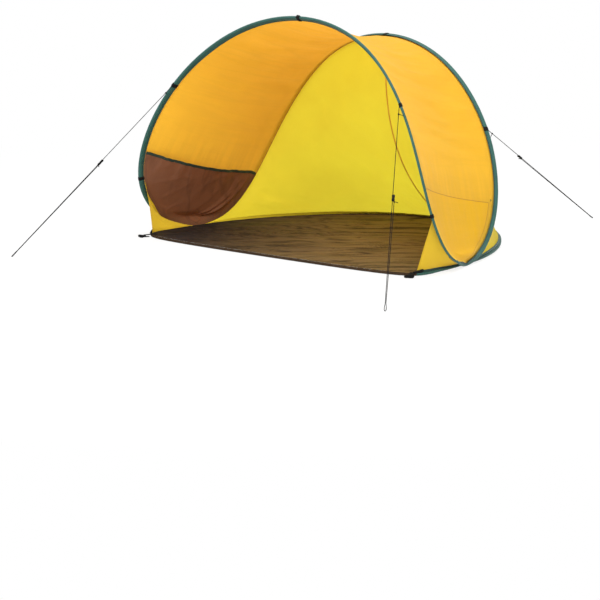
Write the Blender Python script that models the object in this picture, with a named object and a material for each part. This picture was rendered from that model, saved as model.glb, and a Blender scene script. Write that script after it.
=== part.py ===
"""Pop-up beach tent: two closed sprung hoops in sewn sleeves carry a roof, a back wall, a floor,
two side gussets and two inner pockets. Three guy lines with sliding runners hold it down.
Metres, +Z up, the doorway faces -Y. The feet, where the two hoops meet, lie on Y = 0 of the tent's
own coordinates, and one empty moves the whole tent so that its plan is centred on the origin."""

import math

import bmesh
import bpy
import numpy as np
from mathutils import Vector

# Overall shape, measured to the hoops' wires
ARCH_HALF_WIDTH = 0.725
FOOT_HALF_WIDTH = 0.669
FRONT_ARCH_HEIGHT = 0.860
FRONT_ARCH_DEPTH = 0.271
REAR_ARCH_HEIGHT = 0.766
REAR_ARCH_DEPTH = 0.367
FLOOR_HALF_WIDTH = 0.662
FLOOR_FRONT_DEPTH = 0.320
FLOOR_REAR_DEPTH = 0.735

# Hoops of sprung wire, whose ends butt inside a ferrule
WIRE_RADIUS = 0.0020
WIRE_END_GAP = 0.001
FERRULE_BORE_RADIUS = 0.0023
FERRULE_RADIUS = 0.0032
FERRULE_LENGTH = 0.040

# Sleeves of folded tape round the hoops
SLEEVE_BORE_RADIUS = 0.0035
SLEEVE_WALL_THICKNESS = 0.0012
SLEEVE_LIP_LENGTH = 0.0170
SLOT_HALF_WIDTH = 0.0013
LIP_WALL_THICKNESS = 0.0010

# Fabric
CLOTH_THICKNESS = 0.0012
SLOT_DEPTH = 0.005
LIP_MARGIN = 0.001
EDGE_CLEARANCE_GAP = 0.0011
ROOF_SAG_DEPTH = 0.030
WALL_SAG_DEPTH = 0.135
GUSSET_SAG_DEPTH = 0.004
FLOOR_APRON_WIDTH = 0.060
SEAM_GAP = 0.0003
SEAM_TAPE_WIDTH = 0.010
SEAM_TAPE_THICKNESS = 0.0008
SEAM_TAPE_CLEARANCE = 0.0005
SEAM_TAPE_TRIM = 0.007

# Pockets in the sides
POCKET_BULGE_DEPTH = 0.024
POCKET_DIP_DEPTH = 0.007
POCKET_CLEARANCE = 0.0005
POCKET_TAPE_HEIGHT = 0.009
POCKET_TAPE_WALL = 0.0010
POCKET_TAPE_SLOT = 0.0009
POCKET_TAPE_OVERLAP = 0.005

# Webbing
WEB_THICKNESS = 0.0010
WEB_GAP = 0.0003
GUY_TAB_WIDTH = 0.016
APEX_LOOP_WIDTH = 0.017
GUSSET_TAB_WIDTH = 0.014

# Straps and rings at the front corners
STRAP_WIDTH = 0.018
STRAP_THICKNESS = 0.0014
STRAP_REACH_LENGTH = 0.024
STRAP_TAIL_LENGTH = 0.016
STRAP_GAP = 0.0003
RING_ROD_RADIUS = 0.0022
RING_LENGTH = 0.034
RING_WIDTH = 0.026
RING_CLEARANCE = 0.0004
STRAP_BACK = 0.004
STRAP_INSET = 0.015
RIVET_RADIUS = 0.0045
RIVET_TOP_RADIUS = 0.0032
RIVET_HEIGHT = 0.0018
RIVET_SEAT = 0.0005

# Guy lines and their runners
LINE_RADIUS = 0.0012
LINE_KNOT_RADIUS = 0.0034
BRIDLE_REACH_LENGTH = 0.040
EYE_LENGTH = 0.034
EYE_HALF_WIDTH = 0.0065
EYE_GAP = 0.0007
STRAND_GAP = 0.0006
RUNNER_LENGTH = 0.027
RUNNER_WIDTH = 0.0105
RUNNER_THICKNESS = 0.0068
RUNNER_BORE_RADIUS = 0.0016
RUNNER_BORE_OFFSET = 0.0022
RUNNER_EDGE = 0.0027
RUNNER_CHAMFER = 0.0012
RUNNER_KNOT_RADIUS = 0.0036
RUNNER_TAIL_LENGTH = 0.013
RUNNER_TAIL_START = 0.0040
RUNNER_TAIL_DROOP = 0.0045

# Counts of facets
POCKET_STATION = 8
ARCH_STATION = 20
CORNER_STATION = 6
SLOT_STATION = 5
FLOOR_STATION = 13
ROOF_ROWS = 8
WALL_ROWS = 7
GUSSET_ROWS = 3
POCKET_ROWS = 8
WIRE_SIDES = 6
FERRULE_SIDES = 8
RIVET_SIDES = 12
STRAP_TURNS = 6
LINE_STEPS = 26
RETURN_STEPS = 16
BRIDLE_STEPS = 4
EYE_STEPS = 14

# Points of one half of each hoop from the feet to the middle, as shares of the overall shape.
# Columns of the arches: half width, reach from the feet and height.
FRONT_ARCH_SHARES = [
    (0.967, 0.328, 0.035),
    (0.990, 0.587, 0.078),
    (0.997, 0.908, 0.210),
    (0.948, 1.000, 0.390),
    (0.841, 0.923, 0.587),
    (0.670, 0.768, 0.771),
    (0.436, 0.613, 0.913),
    (0.145, 0.524, 0.991),
    (0.000, 0.513, 1.000),
]
REAR_ARCH_SHARES = [
    (0.986, 0.199, 0.022),
    (0.965, 0.373, 0.056),
    (0.921, 0.646, 0.180),
    (0.856, 0.828, 0.360),
    (0.750, 0.935, 0.564),
    (0.592, 0.984, 0.757),
    (0.383, 0.997, 0.909),
    (0.126, 0.999, 0.991),
    (0.000, 1.000, 1.000),
]
FLOOR_SIDE_SHARE = 0.986
FLOOR_FRONT_SHARES = [
    (1.002, 0.281),
    (1.006, 0.484),
    (1.009, 0.672),
    (0.985, 0.819),
    (0.914, 0.906),
    (0.785, 0.956),
    (0.544, 0.987),
    (0.272, 0.997),
    (0.000, 1.000),
]
FLOOR_REAR_SHARES = [
    (0.965, 0.133),
    (0.922, 0.275),
    (0.858, 0.416),
    (0.775, 0.552),
    (0.674, 0.682),
    (0.568, 0.796),
    (0.444, 0.890),
    (0.304, 0.957),
    (0.148, 0.992),
    (0.000, 1.000),
]

# Shares of a half arch's length below the pocket's edge, and of the floor's edge up to its corner
POCKET_FRONT_SHARE = 0.327
POCKET_REAR_SHARE = 0.272
CORNER_SHARE = 0.285

# Places of the webbing, as shares of the half arch's length from the feet
FRONT_GUY_SHARE = 0.5445
REAR_GUY_SHARE = 0.507
BRIDLE_FOOT_SHARE = 0.030

# How far in a pocket's edge tape starts and ends, as a share of the mouth's first facet
TAPE_START_SHARE = 0.300

# Place of a rivet in its gusset, as shares of the three corners of the gusset's lowest front facet
RIVET_CORNER_SHARES = (0.62, 0.23, 0.15)

# Outline of the knots: how far along, as a share of the radius, and how thick
BRIDLE_KNOT_SHARES = [(-1.0, 0.0), (-0.6, 0.55), (0.0, 1.0), (0.6, 0.55), (1.0, 0.0)]
RUNNER_KNOT_SHARES = [(-1.0, 0.30), (-0.8, 0.62), (-0.4, 0.92), (0.0, 1.0), (0.4, 0.92), (0.8, 0.62)]
TAIL_SHARES = (0.0, 0.35, 0.7, 1.0)
EYE_WIDTH_SHARE = 0.77

# Guy lines: where each meets the ground, and how far down it its runner stands at rest
GUY_GROUND_FRONT_LEFT = (-0.718, -0.921)
GUY_GROUND_FRONT_RIGHT = (0.967, -0.816)
GUY_GROUND_REAR_RIGHT = (0.409, 1.171)
RUNNER_SHARE_FRONT_LEFT = 0.457
RUNNER_SHARE_FRONT_RIGHT = 0.468
RUNNER_SHARE_REAR_RIGHT = 0.295

SLEEVE_RADIUS = SLEEVE_BORE_RADIUS / math.cos(math.pi / 8) + SLEEVE_WALL_THICKNESS
GROUND_RISE = SLEEVE_RADIUS


def clear_scene():
    for thing in list(bpy.data.objects):
        bpy.data.objects.remove(thing, do_unlink=True)


def material(name, colour, roughness, metallic=0.0):
    made = bpy.data.materials.new(name)
    made.use_nodes = True
    shader = made.node_tree.nodes["Principled BSDF"]
    shader.inputs["Base Color"].default_value = (*colour, 1.0)
    shader.inputs["Roughness"].default_value = roughness
    shader.inputs["Metallic"].default_value = metallic
    made.diffuse_color = (*colour, 1.0)
    return made


def srgb(red, green, blue):
    """Linear colour from the 0 to 255 values of a screen colour."""
    shares = [value / 255 for value in (red, green, blue)]
    return tuple(s / 12.92 if s <= 0.04045 else ((s + 0.055) / 1.055) ** 2.4 for s in shares)


def roof_cloth():
    return material("roof_cloth", srgb(250, 186, 60), 0.62)


def wall_cloth():
    return material("wall_cloth", srgb(240, 208, 48), 0.62)


def floor_cloth():
    return material("floor_cloth", srgb(104, 78, 48), 0.60)


def pocket_cloth():
    return material("pocket_cloth", srgb(108, 68, 44), 0.70)


def sleeve_tape():
    return material("sleeve_tape", srgb(62, 118, 112), 0.60)


def pocket_edge_tape():
    return material("pocket_edge_tape", srgb(40, 62, 48), 0.65)


def seam_tape():
    return material("seam_tape", srgb(232, 160, 44), 0.62)


def black_webbing():
    return material("black_webbing", srgb(28, 29, 30), 0.70)


def black_plastic():
    return material("black_plastic", srgb(22, 23, 25), 0.38)


def line_cord():
    return material("line_cord", srgb(60, 62, 64), 0.75)


def sprung_steel():
    return material("sprung_steel", srgb(130, 132, 135), 0.30, 1.0)


def plated_steel():
    return material("plated_steel", srgb(170, 172, 175), 0.35, 1.0)


def unit(vector):
    return np.asarray(vector, float) / np.linalg.norm(vector)


def mix(first, second, share):
    return np.asarray(first, float) * (1 - share) + np.asarray(second, float) * share


def flip(vector):
    return np.asarray(vector, float) * np.array((-1.0, 1.0, 1.0))


class Station:
    """A place on a sleeve: the wire's centre, the way along it, and the ways into and across the fabric."""

    def __init__(self, point, along, inward):
        self.point = np.asarray(point, float)
        self.along = unit(along)
        inward = np.asarray(inward, float)
        self.inward = unit(inward - self.along * (inward @ self.along))
        self.across = np.cross(self.along, self.inward)

    def at(self, inward, across=0.0):
        return self.point + self.inward * inward + self.across * across

    def mirrored(self):
        return Station(flip(self.point), -flip(self.along), flip(self.inward))

    def inner_side(self):
        """+1 or -1: the side across which the middle of the tent lies."""
        middle = np.array((0.0, FLOOR_REAR_DEPTH - FLOOR_FRONT_DEPTH, FRONT_ARCH_HEIGHT / 2)) / 2
        return math.copysign(1.0, (middle - self.point) @ self.across)


def between(first, second, share):
    """The station that a straight facet has at this share of the way from one station to the next."""
    made = Station(first.point, first.along, first.inward)
    made.point = mix(first.point, second.point, share)
    made.along = mix(first.along, second.along, share)
    made.inward = mix(first.inward, second.inward, share)
    made.across = mix(first.across, second.across, share)
    return made


def facet_length(first, second):
    return np.linalg.norm(second.point - first.point)


def closed_spline(points, steps):
    """Fine points on the smooth closed curve through the given points, with even slopes at each of them."""
    knots = np.array(points, float)
    count = len(knots)
    spans = np.linalg.norm(np.roll(knots, -1, axis=0) - knots, axis=1)
    rows = np.zeros((count, count))
    right = np.zeros((count, 3))
    for i in range(count):
        after = (i + 1) % count
        rows[i, i - 1] = spans[i]
        rows[i, i] = 2 * (spans[i - 1] + spans[i])
        rows[i, after] = spans[i - 1]
        ahead = (knots[after] - knots[i]) / spans[i]
        behind = (knots[i] - knots[i - 1]) / spans[i - 1]
        right[i] = 3 * (spans[i - 1] * ahead + spans[i] * behind)
    slopes = np.linalg.solve(rows, right)
    fine = []
    for i in range(count):
        after = (i + 1) % count
        for step in range(steps):
            s = step / steps
            fine.append(
                (2 * s**3 - 3 * s**2 + 1) * knots[i]
                + (s**3 - 2 * s**2 + s) * spans[i] * slopes[i]
                + (3 * s**2 - 2 * s**3) * knots[after]
                + (s**3 - s**2) * spans[i] * slopes[after]
            )
    return np.array(fine)


def half_loop(points, mark):
    """Two fine lines from the point numbered mark, one to each end of this half of a mirrored loop."""
    steps = 16
    whole = list(points) + [flip(p) for p in reversed(points[1:-1])]
    fine = closed_spline(whole, steps)
    return fine[: mark * steps + 1][::-1], fine[mark * steps : (len(points) - 1) * steps + 1]


def sample(line, share):
    """Point and direction at this share of a fine line's length."""
    lengths = np.linalg.norm(np.diff(line, axis=0), axis=1)
    run = np.concatenate([[0.0], np.cumsum(lengths)])
    goal = share * run[-1]
    i = int(np.clip(np.searchsorted(run, goal, side="right") - 1, 0, len(lengths) - 1))
    point = mix(line[i], line[i + 1], (goal - run[i]) / lengths[i])
    slopes = np.gradient(line, run, axis=0)
    direction = mix(slopes[i], slopes[i + 1], (goal - run[i]) / lengths[i])
    return point, unit(direction)


def two_rates(share, first, last):
    """Shares 0 to 1 in last steps, of which the first ones end at the given share."""
    low = [share * i / first for i in range(first)]
    high = [share + (1 - share) * i / (last - first) for i in range(last - first + 1)]
    return low + high


def arch_lines():
    foot = (FOOT_HALF_WIDTH, 0.0, GROUND_RISE)
    front = [
        (x * ARCH_HALF_WIDTH, -y * FRONT_ARCH_DEPTH, z * FRONT_ARCH_HEIGHT)
        for x, y, z in FRONT_ARCH_SHARES
    ]
    rear = [
        (x * FOOT_HALF_WIDTH, y * REAR_ARCH_DEPTH, z * REAR_ARCH_HEIGHT)
        for x, y, z in REAR_ARCH_SHARES
    ]
    return half_loop(front[::-1] + [foot] + rear, len(front))


def floor_lines():
    side = (FLOOR_SIDE_SHARE * FLOOR_HALF_WIDTH, 0.0, GROUND_RISE)
    front = [(x * FLOOR_HALF_WIDTH, -y * FLOOR_FRONT_DEPTH, GROUND_RISE) for x, y in FLOOR_FRONT_SHARES]
    rear = [(x * FLOOR_HALF_WIDTH, y * FLOOR_REAR_DEPTH, GROUND_RISE) for x, y in FLOOR_REAR_SHARES]
    return half_loop(front[::-1] + [side] + rear, len(front))


def bow(share):
    """A parabola that is 0 at both ends and 1 in the middle."""
    return 4 * share * (1 - share)


def inside_normal(along, over, point):
    """The way across a panel that points to the middle of the tent."""
    normal = unit(np.cross(along, over))
    middle = np.array((0.0, FLOOR_REAR_DEPTH - FLOOR_FRONT_DEPTH, FRONT_ARCH_HEIGHT / 2)) / 2
    return normal if (middle - point) @ normal > 0 else -normal


class Arches:
    """Stations of the right half of the canopy hoop: front and rear run from the foot to the middle."""

    def __init__(self):
        front_line, rear_line = arch_lines()
        fronts = [sample(front_line, s) for s in two_rates(POCKET_FRONT_SHARE, POCKET_STATION, ARCH_STATION)]
        rears = [sample(rear_line, s) for s in two_rates(POCKET_REAR_SHARE, POCKET_STATION, ARCH_STATION)]
        fronts[-1] = (fronts[-1][0], np.array((-1.0, 0.0, 0.0)))
        rears[-1] = (rears[-1][0], np.array((-1.0, 0.0, 0.0)))
        longest = np.linalg.norm(rears[-1][0] - fronts[-1][0])
        spine = mix(fronts[1][0], rears[1][0], 0.5) - fronts[0][0]
        foot_way = unit(rears[0][1] - fronts[0][1])
        self.front = [Station(fronts[0][0], -foot_way, spine)]
        self.rear = [Station(rears[0][0], foot_way, spine)]
        self.normals = [self.front[0].across * self.front[0].inner_side()]
        self.sags = [0.0]
        for (front, front_way), (rear, rear_way) in zip(fronts[1:], rears[1:]):
            chord = rear - front
            normal = inside_normal(unit(front_way + rear_way), chord, mix(front, rear, 0.5))
            sag = ROOF_SAG_DEPTH * (np.linalg.norm(chord) / longest) ** 2
            slope = 4 * sag / np.linalg.norm(chord)
            self.front.append(Station(front, front_way, unit(chord) + normal * slope))
            self.rear.append(Station(rear, rear_way, normal * slope - unit(chord)))
            self.normals.append(normal)
            self.sags.append(sag)

    def loop(self):
        """All stations, from the front middle down to the right foot, round the back and home."""
        turned = [Station(s.point, -s.along, s.inward) for s in reversed(self.front)]
        half = turned + self.rear[1:]
        return half + [s.mirrored() for s in reversed(half[1:-1])]


class Floor:
    """Stations of the right half of the base hoop: front and rear run from the side to the middle."""

    def __init__(self):
        front_line, rear_line = floor_lines()
        fronts = [sample(front_line, s) for s in two_rates(CORNER_SHARE, CORNER_STATION, FLOOR_STATION)]
        rears = [sample(rear_line, i / ARCH_STATION) for i in range(ARCH_STATION + 1)]
        self.front = [self.station(point, way) for point, way in fronts]
        self.rear = [self.station(point, way) for point, way in rears]
        middle = np.array((-1.0, 0.0, 0.0))
        self.front[-1] = self.station(fronts[-1][0], middle)
        self.rear[-1] = self.station(rears[-1][0], middle)

    @staticmethod
    def station(point, way):
        level = np.array((way[0], way[1], 0.0))
        side = np.array((-level[1], level[0], 0.0))
        centre = np.array((0.0, (FLOOR_REAR_DEPTH - FLOOR_FRONT_DEPTH) / 2, 0.0))
        return Station(point, level, side if (centre - point) @ side > 0 else -side)

    def loop(self):
        turned = [Station(s.point, -s.along, s.inward) for s in reversed(self.front)]
        half = turned + self.rear[1:]
        return half + [s.mirrored() for s in reversed(half[1:-1])]


def sleeve_outline():
    """Outer outline of a sleeve, from its upper lip round the nose to its lower lip."""
    lip = SLOT_HALF_WIDTH + LIP_WALL_THICKNESS
    nose = [(SLEEVE_RADIUS * math.cos(math.radians(a)), SLEEVE_RADIUS * math.sin(math.radians(a)))
            for a in (90, 135, 180, 225, 270)]
    return [(SLEEVE_LIP_LENGTH, lip)] + nose + [(SLEEVE_LIP_LENGTH, -lip)]


def sleeve_profile():
    """Section of a sleeve: a folded tape round the wire, open at its lips, where the fabric goes in."""
    bore = SLEEVE_BORE_RADIUS / math.cos(math.pi / 8)
    root = (bore - SLOT_HALF_WIDTH) / math.tan(math.pi / 8)
    inner = [(bore * math.cos(math.radians(a)), bore * math.sin(math.radians(a)))
             for a in (270, 225, 180, 135, 90)]
    slot_low = [(SLEEVE_LIP_LENGTH, -SLOT_HALF_WIDTH), (root, -SLOT_HALF_WIDTH)]
    slot_high = [(root, SLOT_HALF_WIDTH), (SLEEVE_LIP_LENGTH, SLOT_HALF_WIDTH)]
    return sleeve_outline() + slot_low + inner + slot_high


def circle(radius, sides):
    return [(radius * math.cos(math.tau * i / sides), radius * math.sin(math.tau * i / sides))
            for i in range(sides)]


def reach(station, way, cover=0.0):
    """How far the surface of a sleeve or its cover lies from the wire along a direction, and its normal."""
    inward, across = way @ station.inward, way @ station.across
    outline = offset_line(sleeve_outline(), cover)
    best, normal = 0.0, station.inward
    for (a0, b0), (a1, b1) in zip(outline, outline[1:] + outline[:1]):
        turn = inward * (b1 - b0) - across * (a1 - a0)
        if abs(turn) < 1e-12:
            continue
        distance = (a0 * (b1 - b0) - b0 * (a1 - a0)) / turn
        share = (a0 * across - b0 * inward) / turn
        if distance > best and -1e-9 <= share <= 1 + 1e-9:
            best = distance
            facet = station.inward * (b1 - b0) - station.across * (a1 - a0)
            normal = unit(facet) * math.copysign(1.0, facet @ way)
    return best, normal


def offset_line(points, distance):
    """An open outline moved sideways by a distance, to the outside of a sleeve's outline."""
    line = np.array(points, float)
    ways = [unit(b - a) for a, b in zip(line, line[1:])]
    sides = [np.array((way[1], -way[0])) for way in ways]
    moved = [line[0] + sides[0] * distance]
    for i in range(1, len(line) - 1):
        middle = unit(sides[i - 1] + sides[i])
        moved.append(line[i] + middle * distance / (middle @ sides[i]))
    moved.append(line[-1] + sides[-1] * distance)
    return [tuple(p) for p in moved]


def strip_profile(points, near, thickness):
    """Section of a band that follows an outline at a distance from it."""
    return offset_line(points, near) + offset_line(points, near + thickness)[::-1]


def new_object(name, mesh, finish):
    made = bpy.data.objects.new(name, mesh)
    bpy.context.scene.collection.objects.link(made)
    made.data.materials.append(finish)
    return made


def mesh_object(name, shape, finish, smooth=True):
    """An object from a bmesh of closed or open faces, turned to face outwards."""
    bmesh.ops.recalc_face_normals(shape, faces=shape.faces)
    mesh = bpy.data.meshes.new(name)
    shape.to_mesh(mesh)
    shape.free()
    if smooth:
        mesh.shade_smooth()
        mesh.set_sharp_from_angle(angle=math.radians(40))
    return new_object(name, mesh, finish)


def add_face(shape, corners):
    """A face through these vertices, where some may be the same one."""
    kept = []
    for corner in corners:
        if corner not in kept:
            kept.append(corner)
    if len(kept) > 2:
        shape.faces.new(kept)


def join_rows(shape, rows, closed=False):
    """Faces between neighbouring rows of vertices; closed joins each row's ends."""
    for row, following in zip(rows, rows[1:]):
        last = len(row) if closed else len(row) - 1
        for i in range(last):
            j = (i + 1) % len(row)
            add_face(shape, (row[i], row[j], following[j], following[i]))


def sweep(name, stations, profile, finish, closed=False):
    """One solid with the same section at every station, run round a loop or capped at both ends."""
    shape = bmesh.new()
    rows = [[shape.verts.new(s.at(a, b)) for a, b in profile] for s in stations]
    join_rows(shape, rows + rows[:1] if closed else rows, closed=True)
    if not closed:
        add_face(shape, rows[0])
        add_face(shape, rows[-1])
    return mesh_object(name, shape, finish)


def sheet(name, columns, finish, thickness=CLOTH_THICKNESS):
    """A cloth of even thickness on a grid of points, where a point given twice is one vertex."""
    shape = bmesh.new()
    known = {}
    rows = []
    for column in columns:
        row = []
        for point in column:
            key = tuple(round(value, 7) for value in point)
            if key not in known:
                known[key] = shape.verts.new(point)
            row.append(known[key])
        rows.append(row)
    join_rows(shape, rows)
    made = mesh_object(name, shape, finish)
    thicken(made, thickness)
    return made


def thicken(thing, thickness):
    shell = thing.modifiers.new("thickness", "SOLIDIFY")
    shell.thickness = thickness
    shell.offset = 0.0
    shell.use_even_offset = True


def mirrored(thing, name):
    """The left piece of a pair: the right one's mesh reflected, faces turned back outwards."""
    shape = bmesh.new()
    shape.from_mesh(thing.data)
    for vertex in shape.verts:
        vertex.co.x = -vertex.co.x
    bmesh.ops.reverse_faces(shape, faces=shape.faces)
    made = mesh_object(name, shape, thing.data.materials[0])
    for modifier in thing.modifiers:
        thicken(made, modifier.thickness)
    return made


def open_loop(loop, at, gap):
    """The stations of a loop, opened by a gap in the middle of the facet that starts at station number at."""
    first, second = loop[at], loop[(at + 1) % len(loop)]
    half = gap / 2 / facet_length(first, second)
    start = between(first, second, 0.5 + half)
    end = between(first, second, 0.5 - half)
    rest = [loop[(at + 1 + i) % len(loop)] for i in range(len(loop))]
    return [start] + rest + [end]


def hoop(name, loop, at):
    """A ring of sprung wire with its two ends butted, and the ferrule that holds them."""
    sweep(name, open_loop(loop, at, WIRE_END_GAP), circle(WIRE_RADIUS, WIRE_SIDES), sprung_steel())
    first, second = loop[at], loop[(at + 1) % len(loop)]
    half = FERRULE_LENGTH / 2 / facet_length(first, second)
    ends = [between(first, second, 0.5 - half), between(first, second, 0.5 + half)]
    shape = bmesh.new()
    outer = [[shape.verts.new(s.at(a, b)) for a, b in circle(FERRULE_RADIUS, FERRULE_SIDES)] for s in ends]
    bore = circle(FERRULE_BORE_RADIUS / math.cos(math.pi / FERRULE_SIDES), FERRULE_SIDES)
    inner = [[shape.verts.new(s.at(a, b)) for a, b in bore] for s in ends]
    join_rows(shape, [inner[0], outer[0], outer[1], inner[1], inner[0]], closed=True)
    mesh_object(name + "_ferrule", shape, plated_steel())


def hoops(arches, floor):
    """Both wires, whose joints sit at the back."""
    hoop("canopy_hoop", arches.loop(), 2 * ARCH_STATION)
    hoop("base_hoop", floor.loop(), FLOOR_STATION + ARCH_STATION)


def sleeves(arches, floor):
    """The tape sleeves: one round the whole canopy hoop, one round the base hoop's sides and back,
    and the floor's own brown hem across the doorway."""
    sweep("canopy_sleeve", arches.loop(), sleeve_profile(), sleeve_tape(), closed=True)
    loop = floor.loop()
    corner = FLOOR_STATION - CORNER_STATION
    sweep("base_sleeve", loop[corner : len(loop) - corner + 1], sleeve_profile(), sleeve_tape())
    right, left = loop[corner], loop[len(loop) - corner]
    step = SEAM_GAP / facet_length(loop[corner - 1], right)
    start = between(left, loop[len(loop) - corner + 1], step)
    end = between(right, loop[corner - 1], step)
    run = [start] + loop[len(loop) - corner + 1 :] + loop[:corner] + [end]
    sweep("front_hem", run, sleeve_profile(), floor_cloth())


def roof_column(arches, i):
    """Points over the roof at one pair of stations, from inside the front sleeve to inside the rear one."""
    front, rear = arches.front[i], arches.rear[i]
    full = min(1.0, i / SLOT_STATION) ** 2
    depth = mix(SLEEVE_LIP_LENGTH + LIP_MARGIN, SLEEVE_LIP_LENGTH - SLOT_DEPTH, full)
    near, far = front.at(SLEEVE_LIP_LENGTH + LIP_MARGIN), rear.at(SLEEVE_LIP_LENGTH + LIP_MARGIN)
    middle = [
        mix(near, far, j / ROOF_ROWS) + arches.normals[i] * arches.sags[i] * bow(j / ROOF_ROWS)
        for j in range(ROOF_ROWS + 1)
    ]
    return [front.at(depth)] + middle + [rear.at(depth)]


def roof(arches):
    """The lens of orange cloth between the two arches, drawn in between them like a saddle."""
    right = [roof_column(arches, i) for i in range(ARCH_STATION + 1)]
    left = [[flip(p) for p in column] for column in reversed(right[:-1])]
    sheet("canopy_panel", right + left, roof_cloth())


def hung_column(upper, lower, normal, sag, rows):
    """Points from a sleeve down to the one below it, both ends just clear of the tapes."""
    chord = lower.point - upper.point
    top_way = unit(chord + normal * 4 * sag)
    low_way = unit(normal * 4 * sag - chord)
    top = upper.point + top_way * (reach(upper, top_way)[0] + EDGE_CLEARANCE_GAP)
    low = lower.point + low_way * (reach(lower, low_way)[0] + EDGE_CLEARANCE_GAP)
    return [mix(top, low, j / rows) + normal * sag * bow(j / rows) for j in range(rows + 1)]


def hung_columns(uppers, lowers, sag, rows):
    """A panel's columns between two runs of stations; its sag grows with the square of the drop."""
    drops = [np.linalg.norm(low.point - up.point) for up, low in zip(uppers, lowers)]
    columns = []
    for i, (up, low) in enumerate(zip(uppers, lowers)):
        if i == 0:
            normal = np.array((0.0, 0.0, 1.0))
        else:
            normal = inside_normal(unit(up.along + low.along), low.point - up.point, up.point)
        columns.append(hung_column(up, low, normal, sag * (drops[i] / max(drops)) ** 2, rows))
    gap = SEAM_GAP / np.linalg.norm(columns[1][0] - columns[0][0])
    columns[0] = [mix(a, b, gap) for a, b in zip(columns[0], columns[1])]
    return columns


def back_wall(arches, floor):
    """Two yellow panels that meet on the middle seam, and the tape over that seam inside."""
    columns = hung_columns(arches.rear, floor.rear, WALL_SAG_DEPTH, WALL_ROWS)
    for point in columns[-1]:
        point[0] = SEAM_GAP
    right = sheet("back_wall_right", columns, wall_cloth())
    mirrored(right, "back_wall_left")
    seam = columns[-1]
    inside = [inside_normal(np.array((1.0, 0.0, 0.0)), b - a, a) for a, b in zip(seam, seam[1:])]
    inside = [inside[0]] + [unit(a + b) for a, b in zip(inside, inside[1:])] + [inside[-1]]
    lift = CLOTH_THICKNESS / 2 + SEAM_TAPE_CLEARANCE + SEAM_TAPE_THICKNESS / 2
    line = [p * np.array((0.0, 1.0, 1.0)) + n * lift for p, n in zip(seam, inside)]
    trim = SEAM_TAPE_TRIM / np.linalg.norm(line[1] - line[0])
    line[0] = mix(line[0], line[1], trim)
    line[-1] = mix(line[-1], line[-2], trim)
    half = np.array((SEAM_TAPE_WIDTH / 2, 0.0, 0.0))
    sheet("centre_seam_tape", [[p - half, p + half] for p in line], seam_tape(), SEAM_TAPE_THICKNESS)


def gussets(arches, floor):
    """The yellow triangles between the front arch's legs and the floor's front corners."""
    last = CORNER_STATION + 1
    columns = hung_columns(arches.front[:last], floor.front[:last], GUSSET_SAG_DEPTH, GUSSET_ROWS)
    right = sheet("side_gusset_right", columns, wall_cloth())
    mirrored(right, "side_gusset_left")
    return columns


def groundsheet(floor):
    """The brown floor: its edge sits in the sleeve, and an apron runs down from there to the ground."""
    loop = floor.loop()
    flat = CLOTH_THICKNESS / 2 - GROUND_RISE
    places = [
        (SLEEVE_LIP_LENGTH - SLOT_DEPTH, 0.0),
        (SLEEVE_LIP_LENGTH + LIP_MARGIN, 0.0),
        (FLOOR_APRON_WIDTH, flat),
        (FLOOR_APRON_WIDTH + SLEEVE_LIP_LENGTH, flat),
    ]
    shape = bmesh.new()
    rings = [
        [shape.verts.new(s.point + s.inward * a + np.array((0.0, 0.0, b))) for s in loop]
        for a, b in places
    ]
    join_rows(shape, rings, closed=True)
    shape.faces.new(rings[-1])
    made = mesh_object("groundsheet", shape, floor_cloth())
    thicken(made, CLOTH_THICKNESS)


def pocket_column(arches, i):
    """Points across a pocket at one pair of stations; it bellies out and droops towards its mouth."""
    front, rear = arches.front[i], arches.rear[i]
    near, far = front.at(SLEEVE_LIP_LENGTH + LIP_MARGIN), rear.at(SLEEVE_LIP_LENGTH + LIP_MARGIN)
    fullness = i / POCKET_STATION
    below = mix(arches.front[i - 1].point, arches.rear[i - 1].point, 0.5)
    down = unit(below - mix(front.point, rear.point, 0.5))
    points = []
    for j in range(POCKET_ROWS + 1):
        share = j / POCKET_ROWS
        inside = unit(mix(front.across * front.inner_side(), rear.across * rear.inner_side(), share))
        lift = CLOTH_THICKNESS + POCKET_CLEARANCE + POCKET_BULGE_DEPTH * fullness * bow(share)
        point = mix(near, far, share) + arches.normals[i] * arches.sags[i] * bow(share)
        points.append(point + inside * lift + down * POCKET_DIP_DEPTH * fullness**2 * bow(share))
    return points


def pockets(arches):
    """A brown pocket in each foot of the roof, and the dark tape folded over its mouth."""
    columns = [pocket_column(arches, i) for i in range(1, POCKET_STATION + 1)]
    right = sheet("pocket_right", columns, pocket_cloth())
    mirrored(right, "pocket_left")
    mouth, below = columns[-1], columns[-2]
    path = [Station(p, unit(mouth[min(j + 1, POCKET_ROWS)] - mouth[max(j - 1, 0)]), b - p)
            for j, (p, b) in enumerate(zip(mouth, below))]
    start, end = between(path[0], path[1], TAPE_START_SHARE), between(path[-1], path[-2], TAPE_START_SHARE)
    run = [start] + path[1:-1] + [end]
    slot, wall = POCKET_TAPE_SLOT, POCKET_TAPE_SLOT + POCKET_TAPE_WALL
    top = POCKET_TAPE_OVERLAP - POCKET_TAPE_HEIGHT
    root = -SEAM_GAP
    profile = [
        (POCKET_TAPE_OVERLAP, wall), (top, wall), (top, -wall), (POCKET_TAPE_OVERLAP, -wall),
        (POCKET_TAPE_OVERLAP, -slot), (root, -slot), (root, slot), (POCKET_TAPE_OVERLAP, slot),
    ]
    right = sweep("pocket_tape_right", run, profile, pocket_edge_tape())
    mirrored(right, "pocket_tape_left")


def place(line_stations, shares, share):
    """Facet number and share along it for a share of the whole half arch."""
    i = max(k for k in range(len(shares) - 1) if shares[k] <= share)
    return line_stations[i], line_stations[i + 1], (share - shares[i]) / (shares[i + 1] - shares[i])


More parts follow.
